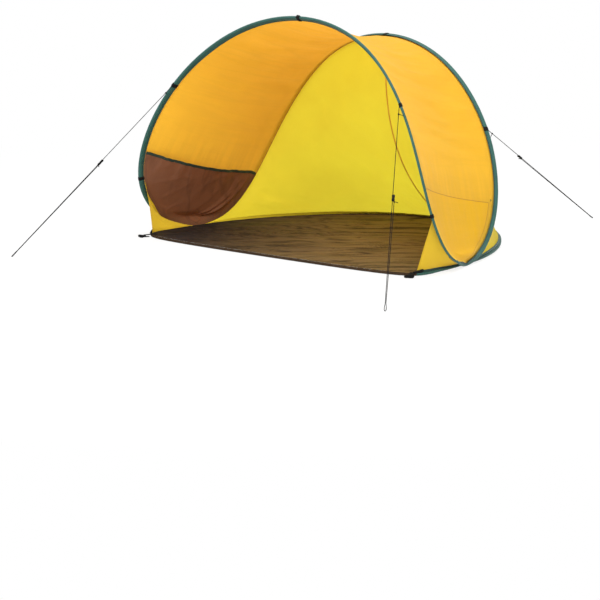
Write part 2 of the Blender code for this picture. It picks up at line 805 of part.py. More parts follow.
def front_place(arches, share):
    return place(arches.front, two_rates(POCKET_FRONT_SHARE, POCKET_STATION, ARCH_STATION), share)


def rear_place(arches, share):
    return place(arches.rear, two_rates(POCKET_REAR_SHARE, POCKET_STATION, ARCH_STATION), share)


def band(name, stations, outside_only):
    """A webbing band folded over a sleeve, on its outer side only where a wall leaves the inner one."""
    outline = sleeve_outline()
    if outside_only:
        outline = outline[:5]
        if stations[0].inner_side() > 0:
            outline = [(a, -b) for a, b in outline]
            profile = strip_profile(outline[::-1], WEB_GAP, WEB_THICKNESS)
            return sweep(name, stations, profile, black_webbing())
    return sweep(name, stations, strip_profile(outline, WEB_GAP, WEB_THICKNESS), black_webbing())


def band_on_facet(name, spot, width, outside_only=False):
    first, second, share = spot
    half = width / 2 / facet_length(first, second)
    ends = [between(first, second, share - half), between(first, second, share + half)]
    return band(name, ends, outside_only)


def apex_band(name, stations, outside_only=False):
    """A band over the top of an arch, bent at the middle station."""
    last, before = stations[-1], stations[-2]
    half = APEX_LOOP_WIDTH / 2 / facet_length(last, before)
    side = between(last, before, half)
    other = Station(flip(side.point), side.along, flip(side.inward))
    other.along, other.across = flip(side.along) * -1, flip(side.across)
    band(name, [side, last, other], outside_only)


def webbing(arches):
    """Loops on top of both arches, tabs where guy lines start, and tabs above the gussets."""
    apex_band("front_apex_loop", arches.front)
    apex_band("rear_apex_loop", arches.rear, outside_only=True)
    front = band_on_facet("guy_tab_front_right", front_place(arches, FRONT_GUY_SHARE), GUY_TAB_WIDTH)
    mirrored(front, "guy_tab_front_left")
    spot = rear_place(arches, REAR_GUY_SHARE)
    rear = band_on_facet("guy_tab_rear_right", spot, GUY_TAB_WIDTH, outside_only=True)
    mirrored(rear, "guy_tab_rear_left")
    first, second = arches.front[CORNER_STATION], arches.front[CORNER_STATION + 1]
    above = GUSSET_TAB_WIDTH / facet_length(first, second)
    top = band_on_facet("gusset_tab_right", (first, second, above), GUSSET_TAB_WIDTH)
    mirrored(top, "gusset_tab_left")


def corner_stations(floor):
    """The facet in front of the right corner, where the strap sits beside the end of the teal sleeve."""
    first, second = floor.front[CORNER_STATION], floor.front[CORNER_STATION + 1]
    length = facet_length(first, second)
    middle = between(first, second, STRAP_INSET / length)
    level = (second.point - first.point) / length
    sides = [between(middle, middle, 0.0), between(middle, middle, 0.0)]
    for side, way in zip(sides, (-1, 1)):
        side.point = middle.point + level * way * STRAP_WIDTH / 2
        side.across = np.array((0.0, 0.0, 1.0))
    return sides


def ring_centre():
    """Place of the ring's inner rod in a corner section: how far out and how far up."""
    loop_radius = RING_ROD_RADIUS + RING_CLEARANCE + STRAP_THICKNESS
    return -(SLEEVE_RADIUS + STRAP_REACH_LENGTH), loop_radius + SEAM_GAP - GROUND_RISE


def corner_straps(floor):
    """A webbing strap folded over the hem, whose end loops round a plastic ring for a peg."""
    ends = corner_stations(floor)
    out, up = ring_centre()
    bend = RING_ROD_RADIUS + RING_CLEARANCE
    over = offset_line(sleeve_outline()[:3], STRAP_GAP)
    near = -(SLEEVE_RADIUS + STRAP_BACK)
    inner = over[:2] + [(near, up + bend)]
    inner += [(out + bend * math.cos(math.radians(a)), up + bend * math.sin(math.radians(a)))
              for a in [90 + 180 * i / STRAP_TURNS for i in range(STRAP_TURNS + 1)]]
    inner += [(out + STRAP_TAIL_LENGTH, up - bend)]
    outer = offset_line(inner, STRAP_THICKNESS)
    right = sweep("corner_strap_right", ends, inner + outer[::-1], black_webbing())
    mirrored(right, "corner_strap_left")


def corner_rings(floor):
    """The peg rings: a round rod bent to a rectangle with round corners, lying flat."""
    first, second = corner_stations(floor)
    middle = between(first, second, 0.5)
    out, up = ring_centre()
    half_long = RING_LENGTH / 2 - RING_ROD_RADIUS
    half_wide = RING_WIDTH / 2 - RING_ROD_RADIUS
    bend = 2 * RING_ROD_RADIUS
    path = []
    for corner in range(4):
        along_sign = (1, -1, -1, 1)[corner]
        out_sign = (1, 1, -1, -1)[corner]
        for step in range(3):
            angle = math.radians(90 * corner + 45 * step)
            along = along_sign * (half_long - bend) + bend * math.cos(angle)
            away = out_sign * (half_wide - bend) + bend * math.sin(angle)
            path.append((along, out - half_wide + away, angle))
    level, away_side, up_side = unit(second.point - first.point), unit(middle.inward), unit(middle.across)
    rows = []
    shape = bmesh.new()
    for along, away, angle in path:
        centre = middle.at(away, up) + level * along
        radial = level * math.cos(angle) + away_side * math.sin(angle)
        rows.append([shape.verts.new(centre + radial * a + up_side * b)
                     for a, b in circle(RING_ROD_RADIUS, WIRE_SIDES)])
    join_rows(shape, rows + rows[:1], closed=True)
    right = mesh_object("corner_ring_right", shape, black_plastic())
    mirrored(right, "corner_ring_left")


def corner_rivets(columns):
    """A low black rivet on the outer face of each gusset, in its lower front corner."""
    corners = np.array((columns[-1][-1], columns[-2][-1], columns[-2][-2]))
    centre = np.array(RIVET_CORNER_SHARES) @ corners
    across = unit(corners[1] - corners[0])
    outside = -inside_normal(across, corners[2] - corners[1], centre)
    start = centre + outside * (CLOTH_THICKNESS / 2 + RIVET_SEAT)
    shape = bmesh.new()
    rows = []
    levels = ((0.0, RIVET_RADIUS), (RIVET_HEIGHT / 2, RIVET_RADIUS), (RIVET_HEIGHT, RIVET_TOP_RADIUS))
    for rise, radius in levels:
        side = np.cross(outside, across)
        rows.append([shape.verts.new(start + outside * rise + across * a + side * b)
                     for a, b in circle(radius, RIVET_SIDES)])
    join_rows(shape, rows, closed=True)
    shape.faces.new(rows[0])
    shape.faces.new(rows[-1])
    right = mesh_object("corner_rivet_right", shape, black_plastic())
    mirrored(right, "corner_rivet_left")


def cord(name, points, radii=None):
    """A cord's stretch: a round tube through the points, thicker where it is knotted."""
    curve = bpy.data.curves.new(name, "CURVE")
    curve.dimensions = "3D"
    curve.bevel_depth = LINE_RADIUS
    curve.bevel_resolution = 2
    curve.use_fill_caps = True
    spline = curve.splines.new("POLY")
    spline.points.add(len(points) - 1)
    for i, point in enumerate(points):
        spline.points[i].co = (*point, 1.0)
        if radii:
            spline.points[i].radius = radii[i] / LINE_RADIUS
    return new_object(name, curve, line_cord())


def leave(station, goal, cover):
    """Where a cord on its way to a goal starts, just clear of a sleeve or its cover, and its direction."""
    along = unit(station.along)
    flat = goal - station.point
    flat = unit(flat - along * (flat @ along))
    distance, normal = reach(station, flat, cover)
    surface = station.point + flat * distance
    way = unit(goal - surface)
    lean = min(1.0, abs(way @ normal))
    return surface + way * (SEAM_GAP + LINE_RADIUS * math.sqrt(1 - lean**2)) / lean, way


class Guy:
    """One guy line from its tab on an arch to its eye on the ground."""

    def __init__(self, name, spot, foot_spot, ground, runner_share, left):
        self.name = name
        tab, foot = between(*spot), between(*foot_spot)
        if left:
            tab, foot = self.reflect(tab), self.reflect(foot)
        tab.across, foot.across = unit(tab.across), unit(foot.across)
        end = np.array((*ground, LINE_RADIUS + SEAM_GAP))
        self.start, self.way = leave(tab, end, WEB_GAP + WEB_THICKNESS)
        self.side = unit(np.cross(self.way, np.array((0.0, 0.0, 1.0))))
        self.end = end
        self.length = np.linalg.norm(end - self.start)
        self.joint = self.start + self.way * BRIDLE_REACH_LENGTH
        self.foot = foot
        self.runner = self.start + self.way * self.length * runner_share

    @staticmethod
    def reflect(station):
        made = between(station, station, 0.0)
        made.point, made.inward = flip(station.point), flip(station.inward)
        made.along, made.across = -flip(station.along), flip(station.across)
        return made

    def eye_point(self, turn):
        """A point of the loop at the ground end, for a turn from 0 to 1 round it."""
        angle = math.tau * turn
        along = EYE_LENGTH * (1 - math.cos(angle)) / 2
        strand = 2 * LINE_RADIUS + STRAND_GAP
        aside = EYE_HALF_WIDTH * EYE_WIDTH_SHARE * math.sin(angle) * (1 - math.cos(angle)) - strand * turn
        return self.end + self.way * (along - EYE_LENGTH) + self.side * aside

    def main_line(self):
        """The line from the tab to the ground and round its eye, with the bridle's knot on it."""
        points, radii = [self.start], [LINE_RADIUS]
        for along, thick in BRIDLE_KNOT_SHARES:
            points.append(self.joint + self.way * LINE_KNOT_RADIUS * along)
            radii.append(LINE_RADIUS + (LINE_KNOT_RADIUS - LINE_RADIUS) * thick)
        neck = self.end - self.way * EYE_LENGTH
        first = self.joint + self.way * 2 * LINE_KNOT_RADIUS
        for i in range(LINE_STEPS + 1):
            points.append(mix(first, neck, i / LINE_STEPS))
            radii.append(LINE_RADIUS)
        for i in range(2, EYE_STEPS):
            points.append(self.eye_point(i / EYE_STEPS))
            radii.append(LINE_RADIUS)
        cord("guy_line_" + self.name, points, radii)

    def runner_frame(self):
        """The runner's middle, which lies beside the line that its bore slides on."""
        return self.runner - self.side * RUNNER_BORE_OFFSET, self.side, np.cross(self.way, self.side)

    def knot_centre(self):
        middle, side, _ = self.runner_frame()
        below = RUNNER_LENGTH / 2 + RUNNER_KNOT_RADIUS + SEAM_GAP
        return middle + self.way * below - side * (RUNNER_KNOT_RADIUS + SEAM_GAP)

    def return_line(self):
        """The strand that comes back from the eye to the runner's knot."""
        first = self.eye_point((EYE_STEPS - 1) / EYE_STEPS)
        goal = self.knot_centre()
        way = unit(goal - first)
        first = first + way * EYE_GAP
        last = goal - way * (RUNNER_KNOT_RADIUS + SEAM_GAP)
        points = [mix(first, last, i / RETURN_STEPS) for i in range(RETURN_STEPS + 1)]
        cord("guy_return_" + self.name, points)

    def bridle(self):
        """The short strand from the sleeve, lower down the arch, to the knot on the line."""
        first, way = leave(self.foot, self.joint, 0.0)
        lean = abs(way @ self.way)
        clear = (LINE_RADIUS + SEAM_GAP + LINE_RADIUS * lean) / math.sqrt(1 - lean**2)
        last = self.joint - way * max(LINE_KNOT_RADIUS + SEAM_GAP, clear)
        points = [mix(first, last, i / BRIDLE_STEPS) for i in range(BRIDLE_STEPS + 1)]
        cord("guy_bridle_" + self.name, points)

    def knot(self):
        """The knot under the runner and its short free tail, which ride on the runner."""
        centre = self.knot_centre()
        points = [centre - self.side * RUNNER_KNOT_RADIUS * along for along, _ in RUNNER_KNOT_SHARES]
        radii = [RUNNER_KNOT_RADIUS * thick for _, thick in RUNNER_KNOT_SHARES]
        for share in TAIL_SHARES:
            reach_out = RUNNER_TAIL_START + (RUNNER_TAIL_LENGTH - RUNNER_TAIL_START) * share
            droop = self.way * RUNNER_TAIL_DROOP * share**2
            points.append(centre - self.side * reach_out + droop)
            radii.append(LINE_RADIUS)
        cord("runner_knot_" + self.name, points, radii)

    def runner_body(self):
        """A flat plastic bar with round edges and a bore along it for the line."""
        middle, side, flat = self.runner_frame()
        outline = []
        for corner in range(4):
            centre_side = (1, -1, -1, 1)[corner] * (RUNNER_WIDTH / 2 - RUNNER_EDGE)
            centre_flat = (1, 1, -1, -1)[corner] * (RUNNER_THICKNESS / 2 - RUNNER_EDGE)
            for step in range(3):
                angle = math.radians(90 * corner + 45 * step)
                outline.append((centre_side + RUNNER_EDGE * math.cos(angle),
                                centre_flat + RUNNER_EDGE * math.sin(angle)))
        bore_radius = RUNNER_BORE_RADIUS / math.cos(math.radians(25))
        bore = []
        for a, b in outline:
            angle = math.atan2(b, a - RUNNER_BORE_OFFSET)
            bore.append((RUNNER_BORE_OFFSET + bore_radius * math.cos(angle), bore_radius * math.sin(angle)))
        shrunk_side = 1 - 2 * RUNNER_CHAMFER / RUNNER_WIDTH
        shrunk_flat = 1 - 2 * RUNNER_CHAMFER / RUNNER_THICKNESS
        small = [(a * shrunk_side, b * shrunk_flat) for a, b in outline]
        half = RUNNER_LENGTH / 2
        levels = [(-half, bore), (-half, small), (RUNNER_CHAMFER - half, outline),
                  (half - RUNNER_CHAMFER, outline), (half, small), (half, bore)]
        shape = bmesh.new()
        rows = [[shape.verts.new(middle + self.way * rise + side * a + flat * b) for a, b in ring]
                for rise, ring in levels]
        join_rows(shape, rows + rows[:1], closed=True)
        mesh_object("runner_" + self.name, shape, black_plastic())

    def travel(self):
        """How far the runner can slide up to the bridle's knot and down to the eye."""
        centre = (self.runner - self.start) @ self.way
        up = centre - RUNNER_LENGTH / 2 - BRIDLE_REACH_LENGTH - 2 * LINE_KNOT_RADIUS
        knot_space = 2 * RUNNER_KNOT_RADIUS + RUNNER_TAIL_LENGTH
        down = self.length - centre - RUNNER_LENGTH / 2 - knot_space - EYE_LENGTH
        return up, down


def guy_lines(arches):
    made = []
    front_foot = front_place(arches, FRONT_GUY_SHARE - BRIDLE_FOOT_SHARE)
    front_tab = front_place(arches, FRONT_GUY_SHARE)
    rear_foot = rear_place(arches, REAR_GUY_SHARE - BRIDLE_FOOT_SHARE)
    rear_tab = rear_place(arches, REAR_GUY_SHARE)
    made.append(Guy("front_left", front_tab, front_foot, GUY_GROUND_FRONT_LEFT, RUNNER_SHARE_FRONT_LEFT, True))
    made.append(
        Guy("front_right", front_tab, front_foot, GUY_GROUND_FRONT_RIGHT, RUNNER_SHARE_FRONT_RIGHT, False)
    )
    made.append(Guy("rear_right", rear_tab, rear_foot, GUY_GROUND_REAR_RIGHT, RUNNER_SHARE_REAR_RIGHT, False))
    for guy in made:
        guy.main_line()
        guy.return_line()
        guy.bridle()
        guy.knot()
        guy.runner_body()
    return made


def centre_plan(guys):
    """Moves the whole tent by one empty, so that its plan without the guy lines is centred on the origin."""
    bpy.context.view_layer.update()
    tent = bpy.data.objects.new("tent_origin", None)
    bpy.context.scene.collection.objects.link(tent)
    depsgraph = bpy.context.evaluated_depsgraph_get()
    lows, highs = [], []
    for thing in bpy.data.objects:
        if thing.type != "MESH" or thing.name.startswith("runner_"):
            continue
        corners = [Vector(c) for c in thing.evaluated_get(depsgraph).bound_box]
        lows.append(min(c.y for c in corners))
        highs.append(max(c.y for c in corners))
    tent.location.y = -(min(lows) + max(highs)) / 2
    for thing in bpy.data.objects:
        if thing is not tent:
            thing.parent = tent
    shift = np.array((0.0, tent.location.y, 0.0))
    print("tent moved along Y by", round(tent.location.y, 5))
    for guy in guys:
        up, down = guy.travel()
        length = round(guy.length, 4)
        print(guy.name, "start", (guy.start + shift).round(4), "way", guy.way.round(5), "length", length,
              "runner", (guy.runner + shift).round(4), "up", round(up, 3), "down", round(down, 3))


def build():
    clear_scene()
    arches, floor = Arches(), Floor()
    hoops(arches, floor)
    sleeves(arches, floor)
    roof(arches)
    back_wall(arches, floor)
    columns = gussets(arches, floor)
    groundsheet(floor)
    pockets(arches)
    webbing(arches)
    corner_straps(floor)
    corner_rings(floor)
    corner_rivets(columns)
    guys = guy_lines(arches)
    centre_plan(guys)


build()
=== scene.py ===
"""The looks of a pop-up beach tent: cloth, tapes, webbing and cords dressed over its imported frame.
Metres, +Z up, the doorway faces -Y. Shapes are worked out in the tent's own coordinates, whose Y = 0
is the line through its feet, and SHIFT moves them into the frame."""

import math

import bmesh
import bpy
import numpy as np
from mathutils import Matrix, Vector, noise


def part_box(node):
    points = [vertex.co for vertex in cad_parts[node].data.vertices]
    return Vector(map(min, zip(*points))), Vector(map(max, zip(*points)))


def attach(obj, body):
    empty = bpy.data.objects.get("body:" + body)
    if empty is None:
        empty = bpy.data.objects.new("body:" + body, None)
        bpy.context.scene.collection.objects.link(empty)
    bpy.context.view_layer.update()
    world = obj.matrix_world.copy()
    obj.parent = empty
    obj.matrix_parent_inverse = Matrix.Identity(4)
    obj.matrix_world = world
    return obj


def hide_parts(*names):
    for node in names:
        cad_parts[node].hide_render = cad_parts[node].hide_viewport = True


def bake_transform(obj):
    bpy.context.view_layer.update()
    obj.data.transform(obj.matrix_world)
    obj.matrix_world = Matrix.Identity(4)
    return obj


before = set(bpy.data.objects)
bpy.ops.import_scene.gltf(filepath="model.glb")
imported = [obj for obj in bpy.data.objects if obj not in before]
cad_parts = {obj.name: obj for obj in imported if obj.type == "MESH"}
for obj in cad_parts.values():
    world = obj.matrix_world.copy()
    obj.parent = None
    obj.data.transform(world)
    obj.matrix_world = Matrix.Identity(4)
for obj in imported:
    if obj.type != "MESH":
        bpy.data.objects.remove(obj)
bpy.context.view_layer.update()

SHIFT = np.array((0.0, -0.2075, 0.0))
MIDDLE = np.array((0.0, 0.2075, 0.215))
MIRROR = np.array((-1.0, 1.0, 1.0))
UP = np.array((0.0, 0.0, 1.0))
LEFTWARDS = np.array((-1.0, 0.0, 0.0))
SIDES = ((1, "right"), (-1, "left"))

# Overall shape, measured to the hoops' wires
ARCH_HALF_WIDTH = 0.725
FOOT_HALF_WIDTH = 0.669
FRONT_ARCH_HEIGHT = 0.860
FRONT_ARCH_REACH = 0.271
REAR_ARCH_HEIGHT = 0.766
REAR_ARCH_REACH = 0.367
FLOOR_HALF_WIDTH = 0.662
FLOOR_FRONT = 0.320
FLOOR_REAR = 0.735
ROOF_SAG = 0.030
WALL_SAG = 0.135
GUSSET_SAG = 0.004
SLEEVE_RADIUS = 0.00499
SLEEVE_LIP = 0.0170
TOP_LEAN = 0.48
LEAN_REACH = 0.034

# Points of one half of each hoop from the feet to the middle, as shares of the overall shape
FRONT_ARCH_SHARES = [
    (0.967, 0.328, 0.035), (0.990, 0.587, 0.078), (0.997, 0.908, 0.210), (0.948, 1.000, 0.390),
    (0.841, 0.923, 0.587), (0.670, 0.768, 0.771), (0.436, 0.613, 0.913), (0.145, 0.524, 0.991),
    (0.000, 0.513, 1.000),
]
REAR_ARCH_SHARES = [
    (0.986, 0.199, 0.022), (0.965, 0.373, 0.056), (0.921, 0.646, 0.180), (0.856, 0.828, 0.360),
    (0.750, 0.935, 0.564), (0.592, 0.984, 0.757), (0.383, 0.997, 0.909), (0.126, 0.999, 0.991),
    (0.000, 1.000, 1.000),
]
FLOOR_SIDE_SHARE = 0.986
FLOOR_FRONT_SHARES = [
    (1.002, 0.281), (1.006, 0.484), (1.009, 0.672), (0.985, 0.819), (0.914, 0.906), (0.785, 0.956),
    (0.544, 0.987), (0.272, 0.997), (0.000, 1.000),
]
FLOOR_REAR_SHARES = [
    (0.965, 0.133), (0.922, 0.275), (0.858, 0.416), (0.775, 0.552), (0.674, 0.682), (0.568, 0.796),
    (0.444, 0.890), (0.304, 0.957), (0.148, 0.992), (0.000, 1.000),
]
SPLINE_STEPS = 16

# Numbers along the arches and the floor, from 0 at the feet, and their shares of the half's length
POCKET_FRONT_SHARE = 0.327
POCKET_REAR_SHARE = 0.272
CORNER_SHARE = 0.285
POCKET_STATION = 8
ARCH_STATION = 20
CORNER_STATION = 6
FLOOR_STATION = 13
# The pockets' mouths, the end of their seams, and where both show through the roof as a painted shadow
POCKET_TOP = POCKET_STATION + 0.14
POCKET_SEAM_TOP = POCKET_STATION + 0.1
POCKET_MARK = POCKET_STATION - 0.1
# How far the pocket's seam lies from the rear wire, where its painted shadow shows through the roof
POCKET_SEAM = 0.0445

# Places of the webbing, as shares of the half arch's length from the feet
FRONT_GUY_SHARE = 0.5445
REAR_GUY_SHARE = 0.507
BRIDLE_FOOT_SHARE = 0.030
GUY_TAB_WIDTH = 0.016
APEX_LOOP_WIDTH = 0.017
APEX_LOOP_RISE = 0.0045
GUSSET_TAB_WIDTH = 0.014

# Guy lines and their runners
LINE_RADIUS = 0.0012
LINE_KNOT_RADIUS = 0.0034
BRIDLE_REACH = 0.040
EYE_LENGTH = 0.034
EYE_HALF_WIDTH = 0.0065
EYE_WIDTH_SHARE = 0.34
EYE_GAP = 0.0007
EYE_STEPS = 28
STRAND_GAP = 0.0006
SEAM_GAP = 0.0003
WEB_COVER = 0.0013
RUNNER_LENGTH = 0.027
RUNNER_WIDTH = 0.0105
RUNNER_THICKNESS = 0.0068
RUNNER_BORE = 0.0016
RUNNER_BORE_OFFSET = 0.0022
RUNNER_KNOT_RADIUS = 0.0036
RUNNER_TAIL = 0.013
GUYS = [
    ("front_left", (-0.718, -0.921), 0.457),
    ("front_right", (0.967, -0.816), 0.468),
    ("rear_right", (0.409, 1.171), 0.295),
]


def unit(vector):
    return np.asarray(vector, float) / np.linalg.norm(vector)


def mix(first, second, share):
    return np.asarray(first, float) * (1 - share) + np.asarray(second, float) * share


def bow(share):
    return 4 * share * (1 - share)


def ease(share):
    share = np.clip(share, 0.0, 1.0)
    return share * share * (3 - 2 * share)


def ring_of(count):
    """Cosine and sine of each of a number of angles round a circle."""
    return [(math.cos(math.tau * k / count), math.sin(math.tau * k / count)) for k in range(count)]


class Station:
    """A place on a sleeve: the wire's centre, the way along it, into the fabric and across the fabric."""

    def __init__(self, point, along, inward):
        self.point = np.asarray(point, float)
        self.along = unit(along)
        inward = np.asarray(inward, float)
        self.inward = unit(inward - self.along * (inward @ self.along))
        self.across = np.cross(self.along, self.inward)

    def at(self, inward, across=0.0):
        return self.point + self.inward * inward + self.across * across

    def inside(self, inward, depth):
        """As at, but depth is towards the middle of the tent."""
        return self.at(inward, depth * self.inner_side())

    def inner_side(self):
        return math.copysign(1.0, (MIDDLE - self.point) @ self.across)

    def mirrored(self):
        return Station(self.point * MIRROR, -self.along * MIRROR, self.inward * MIRROR)


class GroundStation(Station):
    """A place on the base hoop, which lies level: its fabric lies level too, and its inner side is up."""

    def __init__(self, point, way):
        level = np.array((way[0], way[1], 0.0))
        side = np.array((-level[1], level[0], 0.0))
        super().__init__(point, level, side if (MIDDLE - point) @ side > 0 else -side)
        self.across = UP

    def inner_side(self):
        return 1.0

    def mirrored(self):
        return GroundStation(self.point * MIRROR, self.along * MIRROR)


def both_halves(half, closed=False):
    """Points or stations of a right half and then of its left half, without the middle one, and where the
    line closes, without the first one, twice."""
    back = half[-2:0:-1] if closed else half[-2::-1]
    return list(half) + [item.mirrored() if isinstance(item, Station) else item * MIRROR for item in back]


def closed_spline(knots, steps):
    """Fine points on the smooth closed curve through the given points."""
    spans = np.linalg.norm(np.roll(knots, -1, axis=0) - knots, axis=1)[:, None]
    before, own = np.roll(spans, 1, axis=0), np.eye(len(knots))
    ahead = (np.roll(knots, -1, axis=0) - knots) / spans
    rows = spans * np.roll(own, -1, axis=1) + 2 * (before + spans) * own + before * np.roll(own, 1, axis=1)
    slopes = np.linalg.solve(rows, 3 * (before * ahead + spans * np.roll(ahead, 1, axis=0)))
    fine = []
    for i, span in enumerate(spans):
        after = (i + 1) % len(knots)
        for s in np.arange(steps) / steps:
            fine.append(
                (2 * s**3 - 3 * s**2 + 1) * knots[i] + (s**3 - 2 * s**2 + s) * span * slopes[i]
                + (3 * s**2 - 2 * s**3) * knots[after] + (s**3 - s**2) * span * slopes[after]
            )
    return np.array(fine)


class Line:
    """A fine line that is read by its share of length."""

    def __init__(self, points):
        self.points = points
        self.run = run_of(points)
        self.slopes = np.gradient(points, self.run, axis=0)
        self.length = self.run[-1]

    def __call__(self, share):
        """The point and the way along the line there."""
        goal = np.clip(share, 0.0, 1.0) * self.length
        point, way = (np.array([np.interp(goal, self.run, values[:, k]) for k in range(3)])
                      for values in (self.points, self.slopes))
        return point, unit(way)


def lengths_over(grid, axis):
    """Distance travelled over a grid along one axis, starting from 0."""
    steps = np.linalg.norm(np.diff(grid, axis=axis), axis=2)
    start = np.zeros_like(np.take(steps, [0], axis=axis))
    return np.concatenate([start, np.cumsum(steps, axis=axis)], axis=axis)


def run_of(points):
    """Distance travelled along a line of points, starting from 0."""
    return lengths_over(np.asarray(points, float)[:, None], 0)[:, 0]


def half_loop(front, side, rear):
    """A hoop's right half as two lines, from the place at its side to its front and to its rear middle."""
    points = np.array(front[::-1] + [side] + rear)
    fine = closed_spline(np.array(both_halves(points, closed=True)), SPLINE_STEPS)
    mark = len(front) * SPLINE_STEPS
    return Line(fine[: mark + 1][::-1]), Line(fine[mark : (len(points) - 1) * SPLINE_STEPS + 1])


def rate(share, first, last, i):
    """Share of a line's length at a number: the first numbers cover the given share, the others the rest."""
    return share * i / first if i <= first else share + (1 - share) * (i - first) / (last - first)


def number_at(share, first):
    """Number along an arch at a share of its length, where the pocket's station lies at the share first."""
    if share <= first:
        return POCKET_STATION * share / first
    return POCKET_STATION + (ARCH_STATION - POCKET_STATION) * (share - first) / (1 - first)


def inside_normal(along, over, point):
    normal = unit(np.cross(along, over))
    return normal if (MIDDLE - point) @ normal > 0 else -normal


def top_lean(i):
    """How far the front sleeve's lip leans in at the top of the arch."""
    return TOP_LEAN * float(ease((i - 12.3) / 2.6))


def paced(knee, near, far):
    """Numbers from the feet to the middle: near of them up to the knee, and far of them from there on."""
    return np.concatenate([np.linspace(0.0, knee, near)[:-1], np.linspace(knee, ARCH_STATION, far)])


class Arches:
    """The right half of the canopy hoop: a pair of stations for every number from 0, the foot, to 20."""

    def __init__(self):
        front = [(x * ARCH_HALF_WIDTH, -y * FRONT_ARCH_REACH, z * FRONT_ARCH_HEIGHT)
                 for x, y, z in FRONT_ARCH_SHARES]
        rear = [(x * FOOT_HALF_WIDTH, y * REAR_ARCH_REACH, z * REAR_ARCH_HEIGHT)
                for x, y, z in REAR_ARCH_SHARES]
        self.front_line, self.rear_line = half_loop(front, (FOOT_HALF_WIDTH, 0.0, SLEEVE_RADIUS), rear)
        self.longest = np.linalg.norm(self.rear_line(1.0)[0] - self.front_line(1.0)[0])
        first, second = self.sample(0.0), self.sample(1.0)
        spine = mix(second[0][0], second[1][0], 0.5) - first[0][0]
        foot_way = unit(first[1][1] - first[0][1])
        self.feet = Station(first[0][0], -foot_way, spine), Station(first[1][0], foot_way, spine)
        self.feet_normal = self.feet[0].across * self.feet[0].inner_side()

    def sample(self, i):
        front = self.front_line(rate(POCKET_FRONT_SHARE, POCKET_STATION, ARCH_STATION, i))
        rear = self.rear_line(rate(POCKET_REAR_SHARE, POCKET_STATION, ARCH_STATION, i))
        return front, rear

    def pair(self, i):
        """Front station, rear station, the way inside and the roof's sag there."""
        (front, front_way), (rear, rear_way) = self.sample(i)
        if i < 1.0:
            one = self.pair(1.0)
            places = zip((front, rear), (front_way, rear_way), self.feet, one)
            made = [Station(point, mix(foot.along, way, min(1.0, i * 4)), mix(foot.inward, above.inward, i))
                    for point, way, foot, above in places]
            return (*made, unit(mix(self.feet_normal, one[2], i)), one[3] * i * i)
        if i >= ARCH_STATION - 1e-6:
            front_way = rear_way = LEFTWARDS
        chord = rear - front
        normal = inside_normal(unit(front_way + rear_way), chord, mix(front, rear, 0.5))
        sag = ROOF_SAG * (np.linalg.norm(chord) / self.longest) ** 2
        slope = 4 * sag / np.linalg.norm(chord)
        return (Station(front, front_way, unit(unit(chord) + normal * slope) + normal * top_lean(i)),
                Station(rear, rear_way, normal * slope - unit(chord)), normal, sag)

    def front_share(self, share):
        """Front station at a share of the half arch's length."""
        return self.pair(number_at(share, POCKET_FRONT_SHARE))[0]

    def rear_share(self, share):
        return self.pair(number_at(share, POCKET_REAR_SHARE))[1]


class Floor:
    """The right half of the base hoop: front stations 0 to 13, rear stations 0 to 20, from the side on."""

    def __init__(self):
        front = [(x * FLOOR_HALF_WIDTH, -y * FLOOR_FRONT, SLEEVE_RADIUS) for x, y in FLOOR_FRONT_SHARES]
        rear = [(x * FLOOR_HALF_WIDTH, y * FLOOR_REAR, SLEEVE_RADIUS) for x, y in FLOOR_REAR_SHARES]
        side = (FLOOR_SIDE_SHARE * FLOOR_HALF_WIDTH, 0.0, SLEEVE_RADIUS)
        self.front_line, self.rear_line = half_loop(front, side, rear)

    def front(self, i):
        point, way = self.front_line(rate(CORNER_SHARE, CORNER_STATION, FLOOR_STATION, i))
        return GroundStation(point, way if i < FLOOR_STATION - 1e-6 else LEFTWARDS)

    def rear(self, i):
        point, way = self.rear_line(i / ARCH_STATION)
        return GroundStation(point, way if i < ARCH_STATION - 1e-6 else LEFTWARDS)

    def half(self, first, count, rear_count):
        """Stations from a front number to the side, and on to the rear middle."""
        front = [self.front(i) for i in np.linspace(first, 0.0, count)]
        return front + [self.rear(i) for i in np.linspace(0.0, ARCH_STATION, rear_count)][1:]


arches = Arches()
floor = Floor()


# Materials

def linear(red, green, blue):
    """Linear colour from the 0 to 255 values of a screen colour."""
    shares = [value / 255 for value in (red, green, blue)]
    return tuple(s / 12.92 if s <= 0.04045 else ((s + 0.055) / 1.055) ** 2.4 for s in shares)


def shade(colour, factor):
    return tuple(min(1.0, c * factor) for c in colour)


